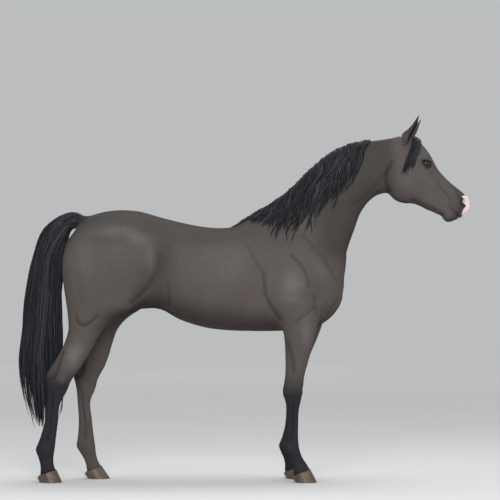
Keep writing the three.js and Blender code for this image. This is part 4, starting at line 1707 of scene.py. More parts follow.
@dataclass(frozen=True)
class Facing:
    """A place on one side of the head, with the directions out of it, along it and up it."""

    centre: Array
    out: Array
    along: Array
    up: Array

    @classmethod
    def on(
        cls, side: Side, centre: Sequence[float], out: Sequence[float], along: Sequence[float],
    ) -> "Facing":
        """The facing at a place that is given for the left side.

        Args:
            side: Which side it is on.
            centre: The place, in drawn millimetres.
            out: Roughly the way out.
            along: Roughly the way along.

        Returns:
            The facing, with its three directions square to each other.
        """
        mirror = np.array([1, side.value, 1])
        w = np.array(out, float) * mirror
        w /= np.linalg.norm(w)
        u = np.array(along, float) * mirror
        u -= w * (u @ w)
        u /= np.linalg.norm(u)
        v = np.cross(w, u)
        return cls(np.array(centre, float) * mirror, w, u, v * (1 if v[2] > 0 else -1))

    def measured(self, d: Array) -> tuple[Array, Array, Array]:
        """How far offsets from the centre go along, up and out."""
        return d @ self.along, d @ self.up, d @ self.out

    def offset(self, flat: Array, angle: Array, height: Array) -> Array:
        """Offsets from the centre, at distances and angles round the way out and at heights along it."""
        aside = np.outer(flat * np.cos(angle), self.along) + np.outer(flat * np.sin(angle), self.up)
        return aside + np.outer(height, self.out)


def eye_facing(form: Form, side: Side) -> Facing:
    """An eye's centre, and the directions out of it, towards its front corner and up its lids."""
    return Facing.on(side, form.eye, (0.2, 0.97, 0.12), (0.95, 0.0, -0.24))


# The lids' opening: half its length, its height above and below the middle, and how square each half is.
LID_LONG, LID_ABOVE, LID_BELOW = 24.6, 14.5, 19.0
LID_ABOVE_SQUARE, LID_BELOW_SQUARE = 2.5, 1.55


def lid_edge(angle: Array) -> Array:
    """How far the lids' edge lies from the middle of the eye.

    Args:
        angle: Angles round the eye, from its front corner over the upper lid.

    Returns:
        The distances, in drawn millimetres.
    """
    cos, sin = np.abs(np.cos(angle)), np.sin(angle)
    high = np.where(sin > 0, LID_ABOVE, LID_BELOW)
    square = np.where(sin > 0, LID_ABOVE_SQUARE, LID_BELOW_SQUARE)
    return ((cos / LID_LONG) ** square + (np.abs(sin) / high) ** square) ** (-1 / square)


def lid_share(form: Form, p: Array) -> Array:
    """How far points lie from the middle of the nearer eye, counted in the lids' own width.

    Args:
        form: The form.
        p: The points, in drawn millimetres.

    Returns:
        1 at the lids' edge, and 9 far away.
    """
    best = np.full(len(p), 9.0)
    for side in Side:
        facing = eye_facing(form, side)
        d = p - facing.centre
        near = np.flatnonzero((np.linalg.norm(d, axis=1) < 90) & (d @ facing.out > -5))
        a, b, _ = facing.measured(d[near])
        best[near] = np.minimum(best[near], np.hypot(a, b) / lid_edge(np.arctan2(b, a)))
    return best


def unwrap(obj: bpy.types.Object) -> None:
    """Unwraps an object onto its map for baking.

    Args:
        obj: The object.
    """
    choose(obj)
    obj.data.uv_layers.new(name=BAKE_MAP)
    obj.data.uv_layers.active = obj.data.uv_layers[BAKE_MAP]
    bpy.ops.object.mode_set(mode="EDIT")
    bpy.ops.mesh.select_all(action="SELECT")
    bpy.ops.uv.smart_project(angle_limit=math.radians(70), island_margin=0.001, rotate_method="AXIS_ALIGNED")
    bpy.ops.object.mode_set(mode="OBJECT")


@dataclass(frozen=True)
class EarShape:
    """How one ear differs from the other: its length, lean, bow and slimness, and how far ahead it is."""

    length: float
    lean: float
    sweep: float
    slim: float
    lead: float


EAR_SHAPES = {
    Side.RIGHT: EarShape(203.0, 30.0, 0.78, 1.0, 0.7),
    Side.LEFT: EarShape(211.0, 38.0, 0.1, 0.68, 4.0),
}


@dataclass
class Ear:
    """One ear: a leaf rolled round its own length, open to the front and the side."""

    form: Form
    side: Side
    wall: float = 3.4
    rings: int = 46
    around: int = 34
    base: Place = (885.0, 42.0, 1858.0)
    wide_open: float = 160.0
    tip_open: float = 98.0

    def build(self) -> bpy.types.Object:
        """Makes the ear.

        Returns:
            A closed mesh, to be joined to the skin.
        """
        shape = EAR_SHAPES[self.side]
        share = np.linspace(0, 1, self.rings)
        leaf = np.sin(np.pi * (0.22 + 0.78 * share)) ** 0.9
        foot = 0.3 + 0.7 * ease(share, 0.0, 0.4)
        deep = ((21.0 * leaf * (1 - 0.4 * share) + 14.0 * ease(share, 0.5, 0.18)) * shape.slim + 1.2) * foot
        width = (32.0 * leaf * (1 - 0.3 * share) + 1.4) * (0.5 + 0.5 * foot)
        opening = np.radians(self.wide_open + (self.tip_open - self.wide_open) * share)
        thick = np.minimum(self.wall, deep * 0.5)
        back, forward = 26 * shape.sweep * ease(share, 0.7, 0.2), 18 * shape.sweep * ease(share, 0.32, 0.05)
        bow = shape.lead - back + forward
        t = np.linspace(-1, 1, self.around)
        points = []
        for i in range(self.rings):
            angle = np.pi + opening[i] * t
            flare = 1 + 0.1 * np.abs(t) ** 3 * math.sin(math.pi * share[i])
            lip = thick[i] * (1 - 0.75 * np.abs(t) ** 6)
            outer = np.stack([np.cos(angle) * deep[i] * flare, np.sin(angle) * width[i] * flare], axis=1)
            inner = outer - np.stack([np.cos(angle) * lip, np.sin(angle) * lip], axis=1)
            ridge = 1 + 0.05 * np.cos(t * 9)
            inner *= ridge[:, None]
            ring = np.vstack([outer, inner[::-1]])
            z = np.full(len(ring), shape.length * share[i])
            points.append(np.column_stack([ring[:, 0] + bow[i], ring[:, 1], z]))
        co = np.vstack(points)
        co = co @ self._turn(self.side.value * -12, shape.lean, self.side.value * 24).T
        co += np.array([self.base[0], self.side.value * self.base[1], self.base[2]])
        ear = new_object("ear", self.form.placed(co), self._faces())
        face_outward(ear)
        return ear

    def _faces(self) -> list[tuple[int, ...]]:
        """The faces between the rings, and those that close the foot and the tip.

        Returns:
            Each face's vertex numbers.
        """
        sides = self.around * 2
        faces = []
        for r in range(self.rings - 1):
            for s in range(sides):
                a, b = r * sides + s, r * sides + (s + 1) % sides
                faces.append((a, b, b + sides, a + sides))
        for r in (0, self.rings - 1):
            for s in range(self.around - 1):
                a = r * sides + s
                d = r * sides + sides - 1 - s
                quad = (a, d, d - 1, a + 1)
                faces.append(quad if r == 0 else quad[::-1])
        return faces

    @staticmethod
    def _turn(x: float, y: float, z: float) -> Array:
        """A turn about X, then Y, then Z.

        Args:
            x: The degrees about X.
            y: The degrees about Y.
            z: The degrees about Z.

        Returns:
            The turn's matrix.
        """
        a, b, c = (math.radians(v) for v in (x, y, z))
        rx = np.array([[1, 0, 0], [0, math.cos(a), -math.sin(a)], [0, math.sin(a), math.cos(a)]])
        ry = np.array([[math.cos(b), 0, math.sin(b)], [0, 1, 0], [-math.sin(b), 0, math.cos(b)]])
        rz = np.array([[math.cos(c), -math.sin(c), 0], [math.sin(c), math.cos(c), 0], [0, 0, 1]])
        return rz @ ry @ rx


# --------------------------------------------------------------------------- eyes and hooves


@dataclass
class Eye:
    """An eyeball with a bulging cornea, and the wet edge of its lids."""

    form: Form
    side: Side
    cornea: float = 1.5
    rim: float = 1.5
    pupil_long: float = 12.5
    pupil_high: float = 7.5

    def build(self) -> None:
        """Makes the eyeball and the lids' edge."""
        facing, radius = eye_facing(self.form, self.side), self.form.eye_radius
        deselect()
        bpy.ops.mesh.primitive_uv_sphere_add(
            segments=64, ring_count=40, radius=radius / MILLIMETRES,
            location=tuple(self.form.placed(facing.centre)),
        )
        ball = bpy.context.active_object
        ball.name = ball.data.name = f"eyeball_{self.side.word}"
        bpy.ops.object.transform_apply(location=True, rotation=True, scale=True)
        co = self.form.drawn(points_of(ball)) - facing.centre
        a, b, h = facing.measured(co)
        flat = np.hypot(a, b)
        bulge = self.cornea * ease(flat, 21.5, 11.0) * (h > 0)
        co = co + co / np.linalg.norm(co, axis=1)[:, None] * bulge[:, None]
        put_points(ball, self.form.placed(co + facing.centre))
        set_values(ball, "iris_share", ease(flat, 23.2, 21.6) * (h > 0))
        out_of_pupil = np.sqrt((a / self.pupil_long) ** 2 + (b / self.pupil_high) ** 2)
        set_values(ball, "pupil_share", ease(out_of_pupil, 1.12, 0.96) * (h > 0))
        shade(ball)
        dress(ball, EyeFinish().make())
        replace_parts(ball, f"eye_{self.side.word}")
        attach(ball, "root")
        self._rim(facing, radius)

    def _rim(self, facing: Facing, radius: float) -> None:
        """Makes the wet edge that runs along both lids.

        Args:
            facing: The eye's place and directions.
            radius: The eyeball's radius.
        """
        turns, around = 96, 8
        angle = np.linspace(0, 2 * np.pi, turns, endpoint=False)
        flat = lid_edge(angle)
        middle = facing.offset(flat, angle, np.sqrt((radius + 0.7) ** 2 - flat**2))
        out = middle / np.linalg.norm(middle, axis=1)[:, None]
        onward = np.roll(middle, -1, axis=0) - np.roll(middle, 1, axis=0)
        onward /= np.linalg.norm(onward, axis=1)[:, None]
        sideways = np.cross(onward, out)
        t = np.linspace(0, 2 * np.pi, around, endpoint=False)
        rings = (
            middle[:, None] + out[:, None] * (np.sin(t) * self.rim)[None, :, None]
            + sideways[:, None] * (np.cos(t) * self.rim * 0.8)[None, :, None]
        )
        co = self.form.placed(rings.reshape(-1, 3) + facing.centre)
        i = np.arange(turns)[:, None] * around
        j = np.arange(around)[None, :]
        nxt = (i + around) % (turns * around)
        k = (j + 1) % around
        faces = np.stack([i + j, nxt + j, nxt + k, i + k], axis=2).reshape(-1, 4)
        rim = new_object(f"lid_edge_{self.side.word}", co, faces)
        face_outward(rim)
        dress(rim, WetRimFinish().make())
        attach(rim, "root")


@dataclass
class Hoof:
    """One hoof: a slanting wall of horn on a flat sole."""

    form: Form
    name: str
    width_top: float = 97.0
    rings: int = 15
    ring_step: float = 0.004

    def build(self) -> None:
        """Makes the hoof by drawing the sole's outline up to the coronet, ring by ring."""
        pair = self.name.split("_")[0]
        heel_x, heel_z, toe_x, toe_z = CORONETS[pair]
        sole_heel, sole_toe, wide = SOLES[pair]
        shift = STANCES[self.name].forward(np.array([heel_z, toe_z, self.form.floor]))
        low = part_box(f"hoof_{self.name}")[0]
        deselect()
        bpy.ops.mesh.primitive_circle_add(vertices=72, radius=0.05, fill_type="NGON", location=(0, 0, low.z))
        hoof = bpy.context.active_object
        hoof.name = hoof.data.name = f"horn_{self.name}"
        bpy.ops.object.transform_apply(location=True, rotation=True, scale=True)
        bpy.ops.object.mode_set(mode="EDIT")
        bpy.ops.mesh.select_all(action="SELECT")
        for _ in range(self.rings):
            bpy.ops.mesh.extrude_region_move(TRANSFORM_OT_translate={"value": (0, 0, self.ring_step)})
        bpy.ops.mesh.inset(thickness=0.006, depth=-self.ring_step)
        bpy.ops.object.mode_set(mode="OBJECT")
        co = points_of(hoof)
        layer = np.clip(np.round((co[:, 2] - low.z) / self.ring_step), 0, self.rings)
        inset = (np.hypot(co[:, 0], co[:, 1]) < 0.0475) & (co[:, 2] > low.z + 0.03)
        share = np.where(inset, 1.0, layer / self.rings)
        angle = np.arctan2(co[:, 1], co[:, 0])
        along = np.sign(np.cos(angle)) * np.abs(np.cos(angle)) ** 0.88
        heel, toe = (
            np.stack([
                x + step + (sole + shift[2] - x - step) * (1 - share),
                z + (self.form.floor - z) * (1 - share),
            ], axis=1)
            for x, z, sole, step in (
                (heel_x, heel_z, sole_heel, shift[0]), (toe_x, toe_z, sole_toe, shift[1]),
            )
        )
        middle, reach = (heel + toe) / 2, (toe - heel) / 2
        ring_wave = 1 + 0.006 * np.sin(share * 34) * (share > 0.05) * (share < 0.98)
        shrink = np.where(inset, 0.82, 1.0) * ring_wave
        narrow = 1 - 0.12 * np.maximum(-along, 0)
        half = (self.width_top / 2) * share + (wide / 2) * (1 - share)
        drawn = np.stack([
            middle[:, 0] + along * reach[:, 0] * shrink,
            sign_of(self.name) * LEG_MIDDLE[pair] + np.sin(angle) * narrow * half * shrink,
            middle[:, 1] + along * reach[:, 1] * shrink + np.where(share == 1, 1.0, 0.0),
        ], axis=1)
        bulb = np.maximum(-along, 0) ** 3 * share**4
        drawn[:, 0] += 9 * bulb
        drawn[:, 2] -= 7 * bulb
        drawn[:, 2] = np.maximum(drawn[:, 2], self.form.floor)
        put_points(hoof, self.form.placed(drawn))
        face_outward(hoof)
        edge = np.maximum(ease(share, 0.08, 0.0), ease(share, 0.86, 1.0))
        set_values(hoof, "edge_share", edge)
        shade(hoof)
        choose(hoof)
        bpy.ops.object.shade_smooth_by_angle(angle=math.radians(40))
        dress(hoof, HornFinish().make())
        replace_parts(hoof, f"hoof_{self.name}")
        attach(hoof, "root")


# --------------------------------------------------------------------------- the coat


@dataclass
class Surface:
    """The skin's triangles, for growing hair on."""

    form: Form
    skin: bpy.types.Object

    def __post_init__(self) -> None:
        """Reads the skin's triangles, normals and map."""
        mesh = self.skin.data
        mesh.calc_loop_triangles()
        n = len(mesh.loop_triangles)
        corners, loops = np.empty(n * 3, np.int32), np.empty(n * 3, np.int32)
        mesh.loop_triangles.foreach_get("vertices", corners)
        mesh.loop_triangles.foreach_get("loops", loops)
        self.corners = corners.reshape(-1, 3)
        self.co, self.normal = points_of(self.skin), normals_of(self.skin)
        uv = np.empty(len(mesh.loops) * 2, np.float32)
        mesh.uv_layers[BAKE_MAP].data.foreach_get("uv", uv)
        self.uv = uv.reshape(-1, 2)[loops.reshape(-1, 3)].astype(float)
        a, b, c = (self.co[self.corners[:, k]] for k in range(3))
        self.area = np.linalg.norm(np.cross(b - a, c - a), axis=1) / 2
        self.centre = (a + b + c) / 3
        points = [Vector(v) for v in self.co]
        self.tree = BVHTree.FromPolygons(points, self.corners.tolist())
        drawn = self.form.drawn(self.centre)
        ear = np.zeros(len(drawn), bool)
        high = np.flatnonzero((drawn[:, 2] > 1840) & (drawn[:, 0] > 830))
        ear[high] = self.form.distance(drawn[high]) > 3
        self.plain = BVHTree.FromPolygons(points, self.corners[~ear].tolist())

    def scatter(self, weight: Array, count: int, rng: np.random.Generator) -> tuple[Array, Array, Array]:
        """Random points on the skin.

        Args:
            weight: How densely each triangle is covered.
            count: How many points.
            rng: The source of chance.

        Returns:
            The points, their normals and their places on the map.
        """
        chance = self.area * weight
        pick = rng.choice(len(chance), count, p=chance / chance.sum())
        r1, r2 = np.sqrt(rng.random(count)), rng.random(count)
        bary = np.stack([1 - r1, r1 * (1 - r2), r1 * r2], axis=1)[:, :, None]
        corners = self.corners[pick]
        point = (self.co[corners] * bary).sum(1)
        normal = unit((self.normal[corners] * bary).sum(1))
        return point, normal, (self.uv[pick] * bary).sum(1)

    def map_at(self, index: Sequence[int]) -> Array:
        """The place on the map of triangles, by number."""
        return self.uv[np.asarray(index)].mean(1)


def nearest(tree: BVHTree, points: Array) -> tuple[Array, Array]:
    """The nearest places on a tree's faces, and the way out there."""
    hits = [tree.find_nearest(p) for p in points.tolist()]
    return np.array([h[0] for h in hits]), np.array([h[1] for h in hits])


def put_patches(obj: bpy.types.Object, root_uv: Array, per_root: int, size: float = 0.003) -> None:
    """Gives each tuft a small patch of the map at its root's place.

    Args:
        obj: The tufts, with the same number of vertices each, in order.
        root_uv: Each tuft's place on the map.
        per_root: How many vertices a tuft has.
        size: How wide a patch is.
    """
    layer = obj.data.uv_layers.new(name=BAKE_MAP)
    loops = np.empty(len(obj.data.loops), np.int32)
    obj.data.loops.foreach_get("vertex_index", loops)
    turn = np.arange(per_root) / per_root * 2 * np.pi
    ring = np.stack([np.cos(turn), np.sin(turn)], axis=1) * size / 2
    uv = np.clip(root_uv, size, 1 - size)[loops // per_root] + ring[loops % per_root]
    layer.data.foreach_set("uv", uv.astype(np.float32).ravel())


def lie_of(form: Form, co: Array) -> Array:
    """The way that the coat lies.

    Args:
        form: The form.
        co: Points of the row frame, on the skin.

    Returns:
        A direction for each, one long.
    """
    x, _, z = form.drawn(co).T
    out = np.tile(np.array([-1.0, 0.0, -0.35]), (len(co), 1))
    for direction, share in (
        ((-0.75, 0, -0.65), ease(x, 150, 420) * ease(z, 1150, 1350)),
        ((-0.15, 0, -1.0), ease(z, 1000, 860)),
        ((-0.5, 0, -0.85), ease(x, -600, -780) * ease(z, 1350, 1150)),
        ((-0.1, 0, -1.0), ease(z, 900, 760)),
        ((-0.55, 0, -0.75), ease(x, 760, 840)),
        ((0.7, 0, -0.7), ease(x, 960, 1060)),
        ((-0.45, 0, 0.85), ease(z, 1905, 1930) * ease(x, 840, 860)),
    ):
        out += (np.array(direction) - out) * share[:, None]
    return unit(out)


@dataclass
class ShortCoat:
    """The short coat's tufts, in a few pieces, each over a part of the body."""

    form: Form
    markings: Markings
    surface: Surface
    tufts_per_piece: int = 46000
    length: float = 15.0
    width: float = 0.19
    sunk: float = 0.0002
    seed: int = 7

    def build(self) -> None:
        """Grows all the pieces of coat."""
        p = self.form.drawn(self.surface.centre)
        bare = self.markings.bare(p)
        cover = (1 - bare) * (1 - self.markings.snip_share(p) * 0.7)
        # Fewer tufts along the dark strokes, so that their painted shade shows.
        for s in STROKES:
            if s.dark:
                cover *= 1 - 0.8 * bell(to_line(p[:, [0, 2]], s.line) / s.width)
        head = ease(p[:, 0], 700, 830)
        legs = ease(p[:, 2], 930, 870) * (1 - head)
        body = (1 - head) * (1 - legs)
        right = (p[:, 1] < 0).astype(float)
        pieces = {
            "coat_head": cover * head,
            "coat_legs": cover * legs,
            "coat_body_right": cover * body * right,
            "coat_body_left": cover * body * (1 - right),
        }
        for i, (name, weight) in enumerate(pieces.items()):
            self._grow(name, weight, np.random.default_rng(self.seed + i))

    def _grow(self, name: str, weight: Array, rng: np.random.Generator) -> None:
        """Grows one piece of coat, each tuft a flat leaf with a low ridge.

        Args:
            name: The piece's name.
            weight: How densely each triangle of the skin is covered.
            rng: The source of chance.
        """
        count = self.tufts_per_piece
        root, normal, uv = self.surface.scatter(weight, count, rng)
        p = self.form.drawn(root)
        lie = lie_of(self.form, root) + rng.normal(0, 0.11, (count, 3))
        lie = unit(lie - normal * np.sum(lie * normal, axis=1)[:, None])
        usual = self.length * (1 - 0.58 * ease(p[:, 0], 520, 820)) * (1 - 0.36 * ease(p[:, 2], 1000, 850))
        long, stand = self._length(p, normal, usual, rng)
        w = (usual * self.width * rng.uniform(0.7, 1.25, count))[:, None] / MILLIMETRES
        middle, up = nearest(self.surface.tree, root + lie * long[:, None] * 0.45)
        end, end_up = nearest(self.surface.tree, root + lie * long[:, None])
        side = unit(np.cross(normal, lie))
        left, right = (root + turn * side * w / 2 - normal * self.sunk for turn in (-1, 1))
        ridge = middle + up * (w * 0.13 + stand[:, None] * 0.4)
        tip = end + end_up * (stand[:, None] + 0.0001)
        co = np.stack([left, right, ridge, tip], axis=1).reshape(-1, 3)
        i = np.arange(count)[:, None] * 4
        leaf = ((0, 1, 2), (0, 2, 3), (2, 1, 3), (1, 0, 3))
        faces = np.concatenate([i + np.array(corners) for corners in leaf], axis=1)
        obj = new_object(name, co, faces.reshape(-1, 3), smooth=False)
        # The tufts' tone varies at random, and tufts that face up get a painted highlight from the light
        # above.
        lit = rng.uniform(0.96, 1.22, count) * (1 + 0.35 * ease(normal[:, 2], 0.3, 0.9))
        tone = self.markings.colours(root, normal) * lit[:, None]
        set_colours(obj, "coat_colour", np.repeat(tone, 4, axis=0))
        put_patches(obj, uv, 4)
        dress(obj, TuftFinish().make())
        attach(obj, "root")
        log.info("%s: %d tufts", name, count)

    @staticmethod
    def _length(p: Array, normal: Array, length: Array, rng: np.random.Generator) -> tuple[Array, Array]:
        """Each tuft's length and how far its tip stands off the skin.

        Args:
            p: The roots, in drawn millimetres.
            normal: The way out of the skin at each.
            length: Each tuft's usual length.
            rng: The source of chance.

        Returns:
            The lengths and the tips' distances, in metres.
        """
        count = len(p)
        long = length * rng.uniform(0.7, 1.3, count)
        stand = length * 0.035 * rng.uniform(0.2, 1.4, count)
        fetlock = ease(np.abs(p[:, 2] - 178), 40, 15) * ease(-normal[:, 0], 0.35, 0.8)
        long = long * (1 + 2.2 * fetlock)
        stand = stand * (1 + 3.5 * fetlock)
        belly = ease(-normal[:, 2], 0.5, 0.95) * (p[:, 2] > 800) * (p[:, 0] < 700)
        jaw = ease(-normal[:, 2], 0.5, 0.9) * (p[:, 0] > 800)
        long, stand = long * (1 + 0.6 * belly + 0.9 * jaw), stand * (1 + 1.3 * belly + 1.5 * jaw)
        inner_ear = ease(p[:, 2], 1905, 1930) * (p[:, 0] > 840) * (p[:, 0] < 1000)
        long, stand = long * (1 + 0.5 * inner_ear), stand * (1 + 1.0 * inner_ear)
        return long / MILLIMETRES, stand / MILLIMETRES


# --------------------------------------------------------------------------- long hair


def lock_mesh(name: str, paths: Array, widths: Array, out: Array, thick: float) -> bpy.types.Object:
    """Many locks as one mesh.

    Args:
        name: The piece's name.
        paths: The locks' middles: lock, point, place.
        widths: Each lock's width at each point.
        out: The direction away from the body at each point.
        thick: A lock's thickness as a share of its width.

    Returns:
        The mesh object. A lock has three vertices for each point of its path.
    """
    count, steps, _ = paths.shape
    onward = unit(np.gradient(paths, axis=1))
    side = unit(np.cross(out, onward))
    rise = np.cross(onward, side)
    w = widths[:, :, None]
    rings = np.stack([paths - side * w / 2, paths + side * w / 2, paths + rise * w * thick], axis=2)
    co = rings.reshape(-1, 3)
    base = np.arange(count)[:, None, None] * steps * 3
    step = np.arange(steps - 1)[None, :, None] * 3
    quads = []
    for k in range(3):
        m = (k + 1) % 3
        quads.append(base + step + np.array([k, m, m + 3, k + 3])[None, None, :])
    faces = np.concatenate(quads, axis=1).reshape(-1, 4)
    first = np.arange(count)[:, None] * steps * 3
    tris = np.concatenate([first + np.array([0, 2, 1]), first + (steps - 1) * 3 + np.array([0, 1, 2])])
    split = np.concatenate([faces[:, [0, 1, 2]], faces[:, [0, 2, 3]], tris])
    return new_object(name, co, split)


@dataclass
class Locks:
    """Long hair: how it is coloured, mapped and set on the body."""

    form: Form
    markings: Markings
    surface: Surface
    dark: Colour = (15, 15, 17)
    pale: Colour = (92, 96, 105)
    finish: LockFinish = field(default_factory=LockFinish)

    def _piece(
        self, name: str, paths: Array, widths: Array, out: Array, rng: np.random.Generator,
        thick: float = 0.28, tress: Array | None = None,
    ) -> bpy.types.Object:
        """Makes one piece of locks, colours it and rides it on the body.

        Args:
            name: The piece's name.
            paths: The locks' middles: lock, point, place.
            widths: Each lock's width at each point.
            out: The direction away from the body at each point.
            rng: The source of chance.
            thick: A lock's thickness as a share of its width.
            tress: Which tress each lock is in, as each has its own shine.

        Returns:
            The new piece.
        """
        obj = lock_mesh(name, paths, widths, out, thick)
        count, steps, _ = paths.shape
        shine = 0.4 * rng.random(count) ** 5
        if tress is not None:
            shine = shine + 0.7 * rng.random(count) * (rng.random(tress.max() + 1) ** 4)[tress]
        along = np.linspace(0, 1, steps)[None, :]
        wave = 0.5 + 0.5 * np.sin(along * 7 + rng.uniform(0, 6.3, count)[:, None])
        share = np.clip(shine[:, None] * (0.35 + 0.65 * wave) + 0.03, 0, 1)
        colour = linear(*self.dark) + (linear(*self.pale) - linear(*self.dark)) * share[:, :, None]
        set_colours(obj, "coat_colour", np.repeat(colour.reshape(-1, 3), 3, axis=0))
        roots = [self.surface.tree.find_nearest(p)[2] for p in paths[:, 0].tolist()]
        put_patches(obj, self.surface.map_at(roots), steps * 3)
        dress(obj, self.finish.make())
        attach(obj, "root")
        log.info("%s: %d locks, %d faces", name, count, len(obj.data.polygons))
        return obj

    def _crawl(
        self, start: Array, flow: Callable[[float], Array], length: Array, lift: Callable[[float], Array],
        steps: int,
    ) -> tuple[Array, Array]:
        """Lets the guides of tresses run over the skin.

        Args:
            start: Where each guide starts, in the row frame.
            flow: The way the guides go, from the share of the way along.
            length: Each guide's length, in metres.
            lift: How far each guide lies off the skin at a share of the way along.
            steps: How many points a guide has.

        Returns:
            The points and outward directions of each guide.
        """
        paths, out = np.zeros((len(start), steps, 3)), np.zeros((len(start), steps, 3))
        p = start.copy()
        shares = [(k / (steps - 1)) ** 1.4 for k in range(steps + 1)]
        for k, share in enumerate(shares[:-1]):
            near, normal = nearest(self.surface.plain, p)
            p = near + normal * lift(share)[:, None]
            paths[:, k], out[:, k] = p, normal
            way = flow(share)
            way = unit(way - normal * np.sum(way * normal, axis=1)[:, None])
            p = p + way * (length * (shares[k + 1] - share))[:, None]
        smooth = out.copy()
        smooth[:, 1:-1] = (out[:, :-2] + out[:, 1:-1] + out[:, 2:]) / 3
        return paths, unit(smooth)

    @staticmethod
    def _tresses(
        guides: Array, out: Array, per: int, wide: float, deep: float, tight: float, rng: np.random.Generator,
    ) -> tuple[Array, Array, Array]:
        """Spreads locks round guides, wide at the roots and drawn together at the tips.

        Args:
            guides: The tresses' middles: tress, point, place.
            out: The outward direction at each point.
            per: How many locks a tress has.
            wide: Half a tress's width at the root, in metres.
            deep: A tress's depth at the root, in metres.
            tight: How far the locks draw together, from 0 to 1.
            rng: The source of chance.

        Returns:
            The locks' points, their outward directions, and the tress of each.
        """
        groups, steps, _ = guides.shape
        tress = np.repeat(np.arange(groups), per)
        count = len(tress)
        t = np.linspace(0, 1, steps)[None, :]
        share = t * (1 - 0.3 * rng.random(count) ** 1.5)[:, None]
        i = np.minimum((share * (steps - 1)).astype(int), steps - 2)
        f = (share * (steps - 1) - i)[:, :, None]
        own = tress[:, None]
        middle = guides[own, i] * (1 - f) + guides[own, i + 1] * f
        away = unit(out[own, i] * (1 - f) + out[own, i + 1] * f)
        side = unit(np.cross(away, np.gradient(middle, axis=1)))
        loose = 1 - tight * ease(share, 0.04, 0.62)
        across = rng.uniform(-1, 1, count)[:, None]
        across = across + 0.22 * np.sin(t * 8 + rng.uniform(0, 6.3, count)[:, None])
        off = rng.random(count)[:, None] * (0.35 + 0.65 * loose) * np.minimum(1, t * 5)
        paths = middle + side * (across * loose * wide)[:, :, None] + away * (off * deep)[:, :, None]
        return paths, away, tress

    @staticmethod
    def _widths(
        width: float, count: int, steps: int, full: tuple[float, float], most: float,
        rng: np.random.Generator,
    ) -> Array:
        """The widths of locks that swell from the root and taper to the tip.

        Args:
            width: A usual lock's width, in metres.
            count: How many locks.
            steps: How many points a lock has.
            full: A lock's width at the root, as a share, and how fast it grows full.
            most: The widest lock, against a usual one.
            rng: The source of chance.

        Returns:
            Each lock's width at each point.
        """
        t = np.linspace(0, 1, steps)[None, :]
        taper = np.minimum(1, full[0] + t * full[1]) * np.clip(1.02 - t, 0.02, 1) ** 0.6
        return width * rng.uniform(0.6, most, count)[:, None] * taper


@dataclass
class Mane(Locks):
    """The mane, from the withers to behind the poll, fallen to the right in tresses."""

    crest: Line = (
        (-20, 1447), (60, 1480), (130, 1522), (205, 1580), (290, 1660), (370, 1742), (460, 1812), (560, 1862),
        (630, 1882), (690, 1892),
    )
    lengths: Line = (
        (0.0, 80), (0.11, 95), (0.22, 135), (0.33, 205), (0.39, 265), (0.45, 340), (0.57, 425), (0.68, 440),
        (0.8, 385), (0.9, 330), (1.0, 240),
    )
    steps: int = 15
    wide: float = 0.0135
    seed: int = 21

    def build(self) -> None:
        """Makes the under layer and the tresses over it."""
        under = self._layer("mane_under", 66, 6, 0.016, 0.002, 0.005, 0.25, 0.92, self.seed)
        self._layer("mane_locks_a", 64, 22, 0.0060, 0.006, 0.010, 0.8, 1.0, self.seed + 1)
        self._layer("mane_locks_b", 84, 20, 0.0042, 0.011, 0.012, 0.86, 1.04, self.seed + 2)
        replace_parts(under, "mane")

    def _layer(
        self, name: str, groups: int, per: int, width: float, low: float, deep: float, tight: float,
        longer: float, seed: int,
    ) -> bpy.types.Object:
        """One layer of the mane.

        Args:
            name: The piece's name.
            groups: How many tresses.
            per: How many locks a tress has.
            width: A usual lock's width, in metres.
            low: How far the layer lies off the neck, in metres.
            deep: A tress's depth, in metres.
            tight: How far a tress draws together.
            longer: Its length against the mane's.
            seed: For the layer's own chance.

        Returns:
            The new piece.
        """
        rng = np.random.default_rng(seed)
        share = (np.arange(groups) + rng.uniform(0.1, 0.9, groups)) / groups
        fine = 200
        crest = smooth_through(np.array(self.crest, float), fine)
        along, up = (np.interp(share * fine, np.arange(fine + 1), crest[:, k]) for k in (0, 1))
        start = self.form.placed(np.stack([along, rng.uniform(0, 17, groups), up + 4], axis=1))
        places, lengths = np.array(self.lengths, float).T
        usual = np.interp(share, places, lengths) / MILLIMETRES * longer
        length = usual * (1 + rng.normal(0, 0.09, groups))
        phase, swing = rng.uniform(0, 2.5, groups) + share * 9, rng.uniform(0.2, 0.46, groups)
        back = 0.4 + 0.5 * ease(share, 0.36, 0.1) + rng.normal(0, 0.09, groups)
        off = low * rng.uniform(0.6, 1.4, groups)
        full = (0.45 + 0.55 * ease(share, 0.0, 0.3)) * (1 - 0.4 * ease(share, 0.88, 1.0))

        def flow(t: float) -> Array:
            """Over the crest to the right, then down and back, in waves.

            Args:
                t: The share of the way along.

            Returns:
                The way each guide goes there.
            """
            over = max(0.0, 1 - t * 6)
            sway = swing * np.sin(t * 10.5 + phase)
            aside, down = np.full(groups, -0.15 - 2.5 * over), np.full(groups, -1.0)
            return np.stack([-back + sway, aside, down], axis=1)

        def lift(t: float) -> Array:
            """How far off the skin: low at the root, full over the crest, and thinning to the tip."""
            over = 0.016 * min(1.0, t * 6) ** 0.8 + (off - 0.006) * min(1.0, t * 3)
            return -0.004 + over * full * (1 - 0.6 * t)

        guides, out = self._crawl(start, flow, length, lift, self.steps)
        paths, out, tress = self._tresses(guides, out, per, self.wide, deep, tight, rng)
        widths = self._widths(width, len(paths), self.steps, (0.3, 6), 1.35, rng)
        return self._piece(name, paths, widths, out, rng, tress=tress)


